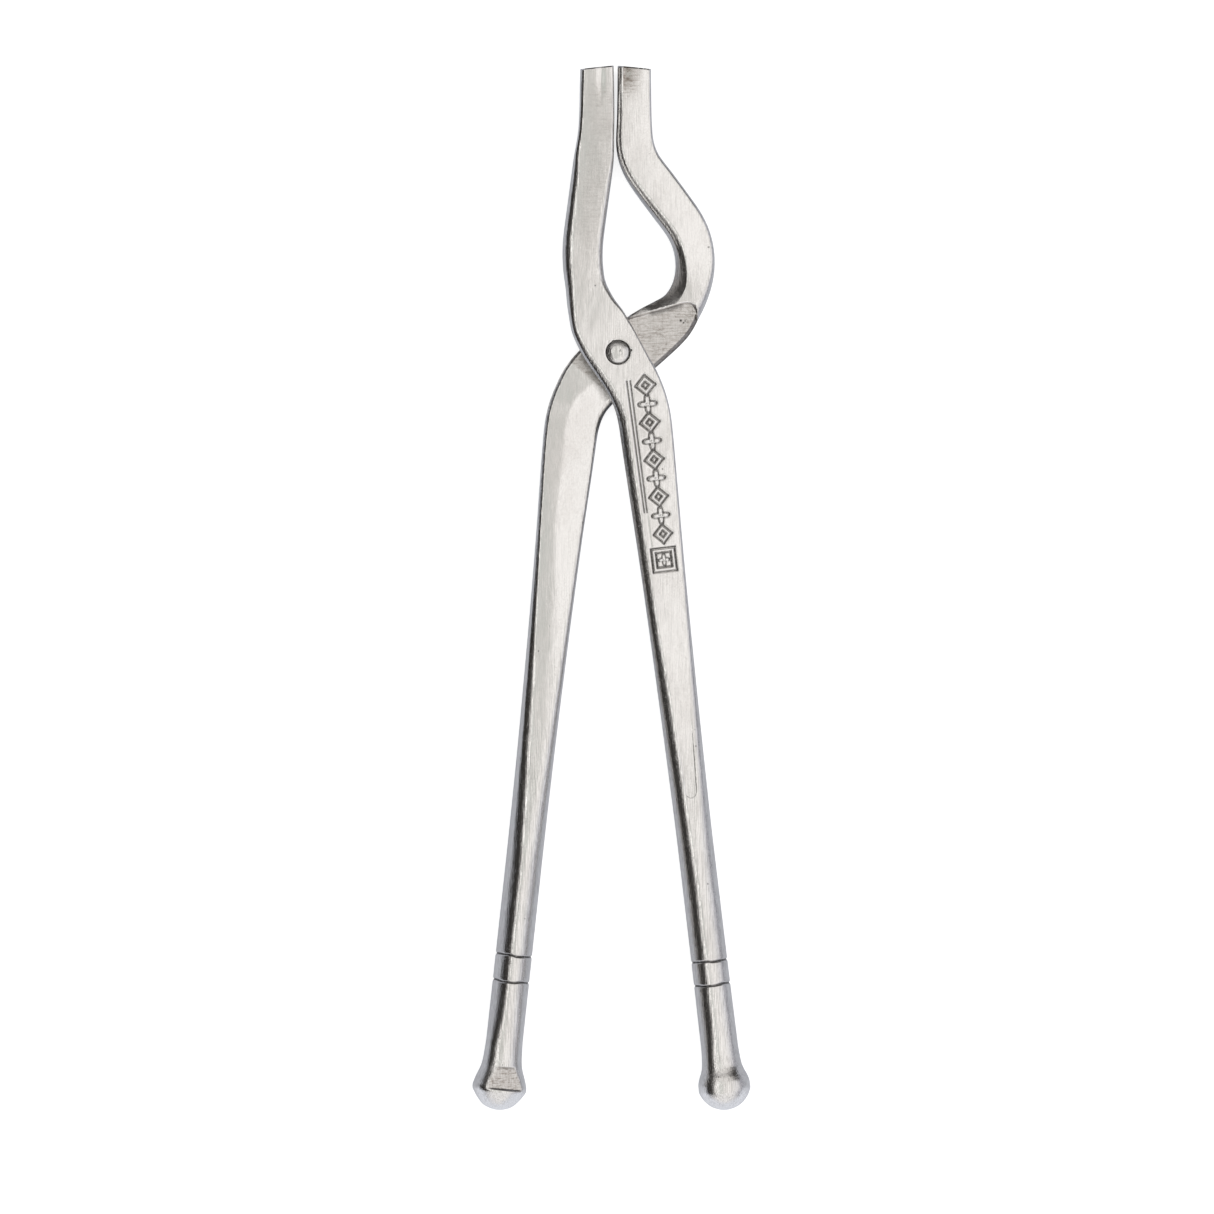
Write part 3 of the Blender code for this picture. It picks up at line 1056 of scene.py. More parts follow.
    def _scoop_pits_and_shade(
        self, x: Array, y: Array, inside: Array, from_side: Array, floor: Array
    ) -> tuple[Array, Array]:
        """The scooped lap's painted shade and pits: a soft painted shade under its border, a few pits, and a
        band of painted shade down its side.

        Args:
            x: Places across the tool.
            y: Places along it.
            inside: Distances inside the border.
            from_side: Distances inside the lever's right side.
            floor: 1 on the scooped lap.

        Returns:
            The painted shade with the pits, and the band of painted shade.
        """
        # A soft painted shade under the scooped lap's border.
        shade = self.scoop_painted_shade * floor * smooth(1.6, 0.1, inside)
        shade = shade * smooth(5.0, 7.5, x) * smooth(15.6, 12.5, x)
        for px, py, size in self.scoop_pits:
            shade = np.maximum(shade, 0.9 * floor * np.exp(-((x - px) ** 2 + (y - py) ** 2) / size**2))
        # The band down the lap's side is painted shade, darkest on its falling edge.
        fall = 0.50 * smooth(self.edge_run, 0.8 * self.edge_run, from_side)
        return shade, floor * (fall + 0.25 * smooth(0.32, 0.02, from_side))

    def _joint_painted_shade(self, at: Array, x: Array, y: Array, z: Array, face: Array, from_side: Array) -> Array:
        """Painted shade by the joint: beside the upper lever's edge, and down the side where the handles
        part.

        Args:
            at: Distances along the lever.
            x: Places across the tool.
            y: Places along it.
            z: Heights over the middle plane.
            face: 1 on the top face.
            from_side: Distances inside the lever's right side.

        Returns:
            The darker of the two at each point.
        """
        # A painted shade on this lever's face along the upper lever's edge, fading over the contact reach.
        over, up = self.contact_point
        beside = (x - over) * self.upper_edge[1] - (y - up) * self.upper_edge[0]
        near_edge = smooth(self.contact_reach, 0.0, np.abs(beside))
        contact = self.contact_painted_shade * face * near_edge * smooth(2.0, 6.0, at)[:, None]
        # A painted dark line along this lever's right side, where the handles part.
        on_side = self.crotch_painted_shade * smooth(0.95, 0.25, from_side) * (z > self.top_level)
        return np.maximum(contact, on_side * (smooth(5.5, 8.0, at) * smooth(24.0, 16.0, at))[:, None])


@dataclass
class Rivet:
    """The peened rivet: a shank and a hammered low dome at each end.

    The levers have no hole for it: the shank runs through their metal, out of sight.
    """

    shank_radius: float = 2.0
    head_radius: float = 2.30
    sink: float = 1.0
    bulge: float = 0.80
    around: int = 96
    rings_on_dome: int = 36
    facets: tuple[tuple[float, float, float], ...] = (
        (0.60, 3.5, 160.0),
        (1.19, 26.5, 190.0),
        (1.18, 26.0, 112.0),
        (1.20, 25.0, 30.0),
        (1.18, 23.0, 322.0),
        (1.16, 22.0, 252.0),
    )
    dimples: tuple[tuple[float, float, float, float], ...] = (
        (0.32, 0.42, 0.24, 0.15),
        (0.80, -0.25, 0.2, 0.12),
    )
    pieces: list[bpy.types.Object] = field(default_factory=list)

    def _dome(self, radius: Array, angle: Array, turn: float) -> Array:
        """Height of a hammered dome: the lowest of a round dome and tilted planes, one for each blow.

        Args:
            radius: Distances from the axis.
            angle: Angles round it.
            turn: How far this head's blows are turned, in degrees.

        Returns:
            Heights over the cheek.
        """
        x, y = radius * np.cos(angle), radius * np.sin(angle)
        share = np.clip(radius / self.head_radius, 0.0, 1.0)
        height = self.bulge * (1.0 - share**2.0)
        for top, tilt, way in self.facets:
            way = math.radians(way + turn)
            plane = top - math.tan(math.radians(tilt)) * (x * math.cos(way) + y * math.sin(way))
            height = soft_min(height, plane, 0.02)
        for px, py, size, deep in self.dimples:
            height -= deep * np.exp(-((x - px) ** 2 + (y - py) ** 2) / size**2)
        return height

    def build(self) -> bpy.types.Object:
        """Makes the rivet by turning its profile and hammering both domes.

        Returns:
            The rivet, at the origin.
        """
        angle = np.linspace(0.0, 2.0 * math.pi, self.around, endpoint=False)[None, :]
        out = np.linspace(0.03, 1.0, self.rings_on_dome)[:, None] * self.head_radius
        radius = out + 0.0 * angle
        head = CHEEK_HEIGHT + self._dome(radius, angle, 0.0)
        tail = -CHEEK_HEIGHT - self._dome(radius, angle, 70.0)
        shank = np.array([[self.head_radius - 0.02, -0.12], [self.shank_radius, -self.sink]])
        down = shank[:, :1] + 0.0 * angle
        upper = CHEEK_HEIGHT + shank[:, 1:] + 0.0 * angle
        all_radius = np.vstack([radius, down, down[::-1], radius[::-1]])
        height = np.vstack([head, upper, -upper[::-1], tail[::-1]])
        x, y = all_radius * np.cos(angle), all_radius * np.sin(angle)
        rings = np.stack([x, y, height + MID_HEIGHT], axis=-1)
        rim = smooth(0.86, 0.97, all_radius / self.head_radius)
        plain = np.zeros_like(rim)
        marks = {"grime_and_shade_mask": rim * 0.8, "edge": plain, "ground": plain, "milled": plain}
        made = closed_tube("rivet_hammered", rings, marks)
        self.pieces.append(made)
        return made

    def dress(self, material: bpy.types.Material) -> None:
        """Gives the rivet its finish, puts it on the lower body and hides the plain node.

        Args:
            material: The finish.
        """
        for piece in self.pieces:
            piece.data.materials.append(material)
            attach(piece, "lower")
            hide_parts("rivet")
            log.info("%s: %d faces on body lower", piece.name, len(piece.data.polygons))


# ---------------------------------------------------------------- shader groups and finishes


class Nodes:
    """Short ways to put nodes into a tree and join them."""

    def __init__(self, tree: bpy.types.NodeTree) -> None:
        """Starts on a tree that already exists."""
        self.tree = tree

    def add(
        self, kind: str, inputs: dict[str | int, object] | None = None, **settings: object
    ) -> bpy.types.Node:
        """Adds a node.

        Args:
            kind: The node's type.
            inputs: Values or sockets for its inputs, by name or number.
            settings: Its properties.

        Returns:
            The new node.
        """
        node = self.tree.nodes.new(kind)
        for setting, value in settings.items():
            setattr(node, setting, value)
        for key, value in (inputs or {}).items():
            if isinstance(value, bpy.types.NodeSocket):
                self.tree.links.new(value, node.inputs[key])
            else:
                node.inputs[key].default_value = value
        return node

    def math(self, operation: str, a: object, b: object = 0.0) -> bpy.types.NodeSocket:
        """One step of arithmetic on two values."""
        return self.add("ShaderNodeMath", {0: a, 1: b}, operation=operation).outputs[0]

    def step(self, value: object, low: float, high: float, to: Pair = (0.0, 1.0)) -> bpy.types.NodeSocket:
        """A smooth step of a value from low to high."""
        inputs = {0: value, 1: low, 2: high, 3: to[0], 4: to[1]}
        return self.add("ShaderNodeMapRange", inputs, interpolation_type="SMOOTHSTEP").outputs[0]

    def blend(self, share: object, a: object, b: object, how: str = "MIX") -> bpy.types.NodeSocket:
        """A mix of two colours."""
        node = self.add("ShaderNodeMix", {0: share, 6: a, 7: b}, data_type="RGBA", blend_type=how)
        return node.outputs[2]

    def ramp(self, value: object, stops: tuple[tuple[float, Colour], ...]) -> bpy.types.NodeSocket:
        """A colour read from stops.

        Args:
            value: The number to read, from 0 to 1.
            stops: (place, colour) pairs in order.

        Returns:
            The colour.
        """
        node = self.add("ShaderNodeValToRGB", {0: value})
        band = node.color_ramp
        while len(band.elements) < len(stops):
            band.elements.new(0.5)
        for element, (place, colour) in zip(band.elements, stops):
            element.position = place
            element.color = (*colour, 1.0)
        return node.outputs[0]

    def grain(
        self, stretch: Colour, scale: float, detail: float = 3.0, turn: float = 0.0
    ) -> bpy.types.NodeSocket:
        """Noise in object space, stretched along the axes, with one unit a millimetre.

        Args:
            stretch: Scale along each axis.
            scale: Overall scale.
            detail: How many finer layers it has.
            turn: Angle about Z.

        Returns:
            The noise, from 0 to 1.
        """
        place = self.add("ShaderNodeTexCoord").outputs["Object"]
        size = tuple(1000.0 * v for v in stretch)
        mapped = self.add("ShaderNodeMapping", {"Vector": place, "Rotation": (0.0, 0.0, turn), "Scale": size})
        inputs = {"Vector": mapped.outputs[0], "Scale": scale, "Detail": detail, "Roughness": 0.6}
        return self.add("ShaderNodeTexNoise", inputs).outputs[0]


def new_group(name: str, inputs: dict[str, float], outputs: tuple[str, ...]) -> bpy.types.NodeTree:
    """An empty shader group with number sockets.

    Args:
        name: The group's name.
        inputs: Its inputs and their defaults.
        outputs: Its outputs.

    Returns:
        The group's tree, with its input and output nodes in place.
    """
    tree = bpy.data.node_groups.new(name, "ShaderNodeTree")
    for socket, default in inputs.items():
        made = tree.interface.new_socket(name=socket, in_out="INPUT", socket_type="NodeSocketFloat")
        made.default_value = default
    for socket in outputs:
        tree.interface.new_socket(name=socket, in_out="OUTPUT", socket_type="NodeSocketFloat")
    tree.nodes.new("NodeGroupInput")
    tree.nodes.new("NodeGroupOutput")
    return tree


def brushing_group() -> bpy.types.NodeTree:
    """Fine polishing lines along the tool and fainter ones across it.

    Returns:
        The group.
    """
    tree = new_group("polishing_lines", {"Along": 1.0, "Across": 0.5}, ("Height", "Streaks"))
    kit = Nodes(tree)
    given, out = tree.nodes["Group Input"], tree.nodes["Group Output"]
    long_lines = kit.grain((1.0, 0.035, 1.0), 5.0, 4.0)
    cross_lines = kit.grain((0.10, 1.0, 1.0), 4.5, 3.0, math.radians(14.0))
    along = kit.math("MULTIPLY", kit.math("SUBTRACT", long_lines, 0.5), given.outputs["Along"])
    across = kit.math("MULTIPLY", kit.math("SUBTRACT", cross_lines, 0.5), given.outputs["Across"])
    tree.links.new(kit.math("ADD", along, across), out.inputs["Height"])
    tree.links.new(kit.step(long_lines, 0.42, 0.66), out.inputs["Streaks"])
    return tree


def pitting_group() -> bpy.types.NodeTree:
    """Sparse pits and short dents left by forging, over a gently uneven surface.

    Returns:
        The group.
    """
    tree = new_group("forging_pits", {"Amount": 0.5, "Unevenness": 1.0}, ("Height", "Pits"))
    kit = Nodes(tree)
    given, out = tree.nodes["Group Input"], tree.nodes["Group Output"]
    place = kit.add("ShaderNodeTexCoord").outputs["Object"]
    size = (1000.0, 1000.0, 1000.0)
    mapped = kit.add("ShaderNodeMapping", {"Vector": place, "Scale": size}).outputs[0]
    cells = kit.add("ShaderNodeTexVoronoi", {"Vector": mapped, "Scale": 0.42, "Randomness": 1.0})
    chance = kit.add("ShaderNodeSeparateColor", {0: cells.outputs["Color"]}).outputs[0]
    reach = kit.math("MULTIPLY", kit.step(chance, 0.55, 1.0), 0.13)
    near = kit.math("DIVIDE", cells.outputs["Distance"], kit.math("ADD", reach, 0.0001))
    pit = kit.math("MULTIPLY", kit.step(near, 1.0, 0.35), given.outputs["Amount"])
    waves = kit.grain((1.0, 0.6, 1.0), 0.22, 2.0)
    uneven = kit.math("MULTIPLY", kit.math("SUBTRACT", waves, 0.5), given.outputs["Unevenness"])
    height = kit.math("SUBTRACT", uneven, kit.math("MULTIPLY", pit, 0.6))
    tree.links.new(height, out.inputs["Height"])
    tree.links.new(pit, out.inputs["Pits"])
    return tree


def milling_group() -> bpy.types.NodeTree:
    """Coarse grinding marks: long scratches at a slant where a surface was milled, with speckle between.

    Returns:
        The group.
    """
    tree = new_group("grinding_marks", {"Strength": 1.0}, ("Height", "Marks"))
    kit = Nodes(tree)
    given, out = tree.nodes["Group Input"], tree.nodes["Group Output"]
    milled = kit.add("ShaderNodeAttribute", attribute_name="milled").outputs["Fac"]
    scratches = kit.grain((0.10, 1.0, 1.0), 3.2, 4.0, math.radians(-28.0))
    speckle = kit.grain((0.7, 1.0, 1.0), 2.2, 4.0)
    clouds = kit.grain((0.6, 1.0, 1.0), 0.30, 3.0, math.radians(-28.0))
    marks = kit.math("ADD", kit.step(scratches, 0.42, 0.70), kit.step(speckle, 0.45, 0.75))
    marks = kit.math("MULTIPLY", marks, kit.step(clouds, 0.25, 0.75, (0.35, 1.0)))
    on = kit.math("MULTIPLY", milled, given.outputs["Strength"])
    base = kit.math("ADD", kit.math("MULTIPLY", marks, 0.55), 0.28)
    tree.links.new(kit.math("MULTIPLY", kit.math("SUBTRACT", scratches, 0.5), on), out.inputs["Height"])
    tree.links.new(kit.math("MULTIPLY", base, on), out.inputs["Marks"])
    return tree


def wear_and_shade_group() -> bpy.types.NodeTree:
    """Where the metal is burnished by use, where it is dull with handling, and where it is darkened for dirt
    that has stayed and for painted shade.

    Returns:
        The group.
    """
    tree = new_group("handling_wear_and_shade", {"Smudges": 0.5, "Grime_and_shade_amount": 0.8}, ("Dull", "Grime_and_shade", "Burnished"))
    kit = Nodes(tree)
    given, out = tree.nodes["Group Input"], tree.nodes["Group Output"]
    edge = kit.add("ShaderNodeAttribute", attribute_name="edge").outputs["Fac"]
    grime_and_shade_mask = kit.add("ShaderNodeAttribute", attribute_name="grime_and_shade_mask").outputs["Fac"]
    clouds = kit.grain((1.0, 0.7, 1.0), 0.11, 4.0)
    specks = kit.grain((1.0, 1.0, 1.0), 2.6, 2.0)
    dull = kit.math("ADD", kit.step(clouds, 0.40, 0.68), kit.step(specks, 0.35, 0.70, (-0.2, 0.5)))
    dull = kit.math("MULTIPLY", dull, given.outputs["Smudges"])
    # The mask of dirt and painted shade darkens the colour, broken up by specks.
    caked_grime_and_shade = kit.math("MULTIPLY", kit.step(grime_and_shade_mask, 0.15, 0.80), kit.step(specks, 0.28, 0.58, (0.64, 1.0)))
    tree.links.new(dull, out.inputs["Dull"])
    tree.links.new(kit.math("MULTIPLY", caked_grime_and_shade, given.outputs["Grime_and_shade_amount"]), out.inputs["Grime_and_shade"])
    tree.links.new(kit.math("MULTIPLY", edge, 0.8), out.inputs["Burnished"])
    return tree


@dataclass(frozen=True)
class SteelFinish:
    """A bright steel finish: its colours, its gloss and how strongly its marks show."""

    name: str
    bright: Colour = (0.820, 0.807, 0.792)
    dull: Colour = (0.735, 0.712, 0.694)
    # Near-black for dirt, pits and painted shade.
    grime_and_shade_colour: Colour = (0.030, 0.027, 0.025)
    milled: Colour = (0.265, 0.228, 0.200)
    drawn: Colour = (0.480, 0.465, 0.450)
    gloss: Pair = (0.06, 0.13)
    ground_gloss: float = 0.07
    lines_along: float = 1.0
    lines_across: float = 0.5
    pits: float = 0.6
    unevenness: float = 1.0
    smudges: float = 0.6
    grime_and_shade_strength: float = 0.9
    line_relief: float = 0.014
    bar_relief: float = 2.8
    wave_relief: float = 0.075

    def build(self, groups: dict[str, bpy.types.NodeTree]) -> bpy.types.Material:
        """Makes the material from the shared groups.

        Args:
            groups: The shader groups by name.

        Returns:
            The finished material.
        """
        material = bpy.data.materials.new(self.name)
        material.use_nodes = True
        kit = Nodes(material.node_tree)
        shader = material.node_tree.nodes["Principled BSDF"]
        lines = kit.add("ShaderNodeGroup", node_tree=groups["lines"])
        lines.inputs["Along"].default_value = self.lines_along
        lines.inputs["Across"].default_value = self.lines_across
        pits = kit.add("ShaderNodeGroup", node_tree=groups["pits"])
        pits.inputs["Amount"].default_value = self.pits
        pits.inputs["Unevenness"].default_value = self.unevenness
        wear_and_shade = kit.add("ShaderNodeGroup", node_tree=groups["wear_and_shade"])
        wear_and_shade.inputs["Smudges"].default_value = self.smudges
        wear_and_shade.inputs["Grime_and_shade_amount"].default_value = self.grime_and_shade_strength
        milling = kit.add("ShaderNodeGroup", node_tree=groups["milling"])
        ground = kit.add("ShaderNodeAttribute", attribute_name="ground").outputs["Fac"]
        tone = kit.blend(wear_and_shade.outputs["Dull"], (*self.bright, 1.0), (*self.dull, 1.0))
        bare = kit.math("SUBTRACT", 0.55, kit.math("MULTIPLY", ground, 0.42))
        streak = kit.math("MULTIPLY", lines.outputs["Streaks"], bare)
        tone = kit.blend(streak, tone, (*self.drawn, 1.0))
        tone = kit.blend(milling.outputs["Marks"], tone, (*self.milled, 1.0))
        # Dirt, pits and painted shade all darken towards the same near-black colour.
        grime_pits_and_shade = kit.math("MAXIMUM", wear_and_shade.outputs["Grime_and_shade"], pits.outputs["Pits"])
        tone = kit.blend(grime_pits_and_shade, tone, (*self.grime_and_shade_colour, 1.0))
        low, high = self.gloss
        rough = kit.math("ADD", kit.math("MULTIPLY", wear_and_shade.outputs["Dull"], high - low), low)
        rough = kit.math("ADD", rough, kit.math("MULTIPLY", lines.outputs["Streaks"], 0.03))
        rough = kit.math("ADD", rough, kit.math("MULTIPLY", ground, self.ground_gloss))
        rough = kit.math("SUBTRACT", rough, kit.math("MULTIPLY", wear_and_shade.outputs["Burnished"], 0.05))
        rough = kit.math("ADD", rough, kit.math("MULTIPLY", grime_pits_and_shade, 0.35))
        rough = kit.math("ADD", rough, kit.math("MULTIPLY", milling.outputs["Marks"], 0.18))
        drawn = kit.math("SUBTRACT", self.bar_relief, kit.math("MULTIPLY", ground, self.bar_relief - 1.0))
        drawn = kit.math("MULTIPLY", lines.outputs["Height"], drawn)
        scratched = kit.math("ADD", drawn, kit.math("MULTIPLY", milling.outputs["Height"], 1.5))
        fine = kit.add("ShaderNodeBump", {"Height": scratched, "Strength": 1.0})
        fine.inputs["Distance"].default_value = self.line_relief * MM
        broad = kit.add("ShaderNodeBump", {"Height": pits.outputs["Height"], "Strength": 1.0})
        broad.inputs["Distance"].default_value = self.wave_relief * MM
        material.node_tree.links.new(fine.outputs[0], broad.inputs["Normal"])
        shader.inputs["Metallic"].default_value = 1.0
        material.node_tree.links.new(tone, shader.inputs["Base Color"])
        material.node_tree.links.new(rough, shader.inputs["Roughness"])
        material.node_tree.links.new(broad.outputs[0], shader.inputs["Normal"])
        return material


# ---------------------------------------------------------------- studio


@dataclass
class Studio:
    """A white table in soft surroundings that are dark low on the left and behind, and pale on the right."""

    floor_half: float = 1.6
    camera_height: float = 1.6
    view_width: float = 254.9
    view_centre: Pair = (-2.31, -53.34)
    cool: Colour = (0.68, 0.70, 0.67)
    haze: Colour = (0.57, 0.54, 0.515)
    warm: Colour = (1.09, 1.07, 1.05)
    glow: Colour = (1.20, 1.18, 1.16)

    def floor(self) -> bpy.types.Object:
        """A flat pale table just under the tool. The camera sees it white, and the metal sees it grey.

        Returns:
            The table.
        """
        mesh = bpy.data.meshes.new("table")
        half, under = self.floor_half, -0.15 * MM
        corners = [(-half, -half, under), (half, -half, under), (half, half, under), (-half, half, under)]
        mesh.from_pydata(corners, [], [(0, 1, 2, 3)])
        table = bpy.data.objects.new("table", mesh)
        bpy.context.scene.collection.objects.link(table)
        material = bpy.data.materials.new("white_table")
        material.use_nodes = True
        tree = material.node_tree
        kit = Nodes(tree)
        tree.nodes.remove(tree.nodes["Principled BSDF"])
        seen = kit.add("ShaderNodeLightPath").outputs["Is Camera Ray"]
        paper = kit.add("ShaderNodeBsdfDiffuse", {"Color": (0.55, 0.55, 0.55, 1.0)}).outputs[0]
        glow = kit.add("ShaderNodeEmission", {"Color": (1.0, 1.0, 1.0, 1.0), "Strength": 0.72}).outputs[0]
        white = kit.add("ShaderNodeAddShader", {0: paper, 1: glow}).outputs[0]
        grey = kit.add("ShaderNodeBsdfDiffuse", {"Color": (0.30, 0.31, 0.34, 1.0)}).outputs[0]
        # The grey that the metal sees also glows faintly pale blue, more strongly past the handles' ends: a
        # painted reflection, as the table is no lamp.
        place = kit.add("ShaderNodeTexCoord").outputs["Object"]
        along = kit.add("ShaderNodeSeparateXYZ", {0: place}).outputs[1]
        strength = kit.step(along, -0.150, -0.166, (0.24, 0.60))
        pale_blue = (0.86, 0.90, 0.98, 1.0)
        painted_reflection_glow = kit.add("ShaderNodeEmission", {"Color": pale_blue, "Strength": strength}).outputs[0]
        other = kit.add("ShaderNodeAddShader", {0: grey, 1: painted_reflection_glow}).outputs[0]
        mixed = kit.add("ShaderNodeMixShader", {0: seen, 1: other, 2: white}).outputs[0]
        tree.links.new(mixed, tree.nodes["Material Output"].inputs["Surface"])
        mesh.materials.append(material)
        return table

    def world(self) -> None:
        """Soft studio surroundings, read by direction: x is to the right and z is up."""
        world = bpy.data.worlds.new("studio")
        bpy.context.scene.world = world
        world.use_nodes = True
        tree = world.node_tree
        kit = Nodes(tree)
        way = kit.add("ShaderNodeTexCoord").outputs["Generated"]
        axes = kit.add("ShaderNodeSeparateXYZ", {0: way})
        x, y, z = axes.outputs[0], axes.outputs[1], axes.outputs[2]
        across = kit.add("ShaderNodeCombineXYZ", {0: x, 1: 0.0001, 2: z}).outputs[0]
        across = kit.add("ShaderNodeVectorMath", {0: across}, operation="NORMALIZE").outputs[0]
        lift = kit.add("ShaderNodeSeparateXYZ", {0: across}).outputs[2]
        height = kit.math("ADD", kit.math("MULTIPLY", lift, 0.5), 0.5)
        left = kit.ramp(
            height,
            (
                (0.00, (0.30, 0.31, 0.34)),
                (0.370, (0.28, 0.29, 0.32)),
                (0.410, (0.030, 0.028, 0.026)),
                (0.620, (0.030, 0.028, 0.026)),
                (0.790, (0.055, 0.052, 0.050)),
                (0.868, (0.17, 0.165, 0.16)),
                (0.896, (0.50, 0.49, 0.48)),
                (0.917, (1.90, 1.87, 1.83)),
                (0.945, (1.50, 1.47, 1.44)),
                (0.968, self.cool),
            ),
        )
        right = kit.ramp(
            height,
            (
                (0.00, (0.34, 0.35, 0.38)),
                (0.400, (0.34, 0.35, 0.38)),
                (0.430, (0.06, 0.06, 0.065)),
                (0.510, (0.10, 0.10, 0.115)),
                (0.590, (0.52, 0.52, 0.58)),
                (0.700, (0.86, 0.86, 0.89)),
                (0.930, (1.02, 1.00, 0.98)),
            ),
        )
        front = kit.ramp(
            height,
            (
                (0.00, (0.55, 0.56, 0.60)),
                (0.450, (0.62, 0.63, 0.68)),
                (0.520, (0.82, 0.82, 0.86)),
                (0.750, (0.95, 0.94, 0.94)),
            ),
        )
        back = kit.ramp(
            kit.math("ADD", kit.math("MULTIPLY", z, 0.5), 0.5),
            (
                (0.00, (0.24, 0.25, 0.28)),
                (0.470, (0.20, 0.20, 0.22)),
                (0.520, (0.045, 0.043, 0.041)),
                (0.700, (0.07, 0.067, 0.065)),
                (0.790, (0.48, 0.47, 0.46)),
                (0.880, (0.80, 0.78, 0.76)),
                (0.930, (0.95, 0.93, 0.91)),
            ),
        )
        side = kit.blend(kit.step(x, -0.08, -0.22), right, left)
        shift = kit.math("ADD", kit.math("MULTIPLY", x, 2.0), 0.5)
        above = kit.ramp(
            shift,
            (
                (0.10, self.cool),
                (0.26, self.cool),
                (0.32, self.haze),
                (0.40, self.haze),
                (0.47, self.warm),
                (0.58, self.glow),
                (0.70, self.warm),
                (1.00, self.warm),
            ),
        )
        sky = kit.blend(kit.step(lift, 0.90, 0.965), side, above)
        sky = kit.blend(kit.step(y, -0.64, -0.86), sky, front)
        sky = kit.blend(kit.step(y, 0.35, 0.56), sky, back)
        seen = kit.add("ShaderNodeLightPath").outputs["Is Camera Ray"]
        shown = kit.blend(seen, sky, (1.0, 1.0, 1.0, 1.0))
        tree.links.new(shown, tree.nodes["Background"].inputs["Color"])
        tree.nodes["Background"].inputs["Strength"].default_value = 1.0

    def key_light(self) -> bpy.types.Object:
        """A large soft lamp overhead that the metal doesn't mirror, so that contact shadows show faintly.

        Returns:
            The lamp.
        """
        data = bpy.data.lights.new("overhead_softbox", "AREA")
        data.energy = 5.0
        data.size = 0.9
        lamp = bpy.data.objects.new("overhead_softbox", data)
        lamp.location = (0.10, 0.05, 1.1)
        lamp.rotation_euler = (0.0, math.radians(5.0), 0.0)
        lamp.visible_glossy = False
        bpy.context.scene.collection.objects.link(lamp)
        return lamp

    def camera(self) -> bpy.types.Object:
        """A long lens straight above, with the tool's length up the picture.

        Returns:
            The camera.
        """
        data = bpy.data.cameras.new("camera")
        data.sensor_width = 36.0
        distance = self.camera_height - MID_HEIGHT * MM
        data.lens = distance * data.sensor_width / (self.view_width * MM)
        data.clip_start, data.clip_end = 0.05, 20.0
        camera = bpy.data.objects.new("camera", data)
        camera.location = (self.view_centre[0] * MM, self.view_centre[1] * MM, self.camera_height)
        bpy.context.scene.collection.objects.link(camera)
        bpy.context.scene.camera = camera
        return camera


# ---------------------------------------------------------------- the tool


def handle_end(elbow: Pair, degrees: float) -> Pair:
    """Where a straight handle ends, at the handles' reach below the rivet."""
    drop = REACH + elbow[1]
    return (elbow[0] + drop * math.tan(math.radians(degrees)), -REACH)


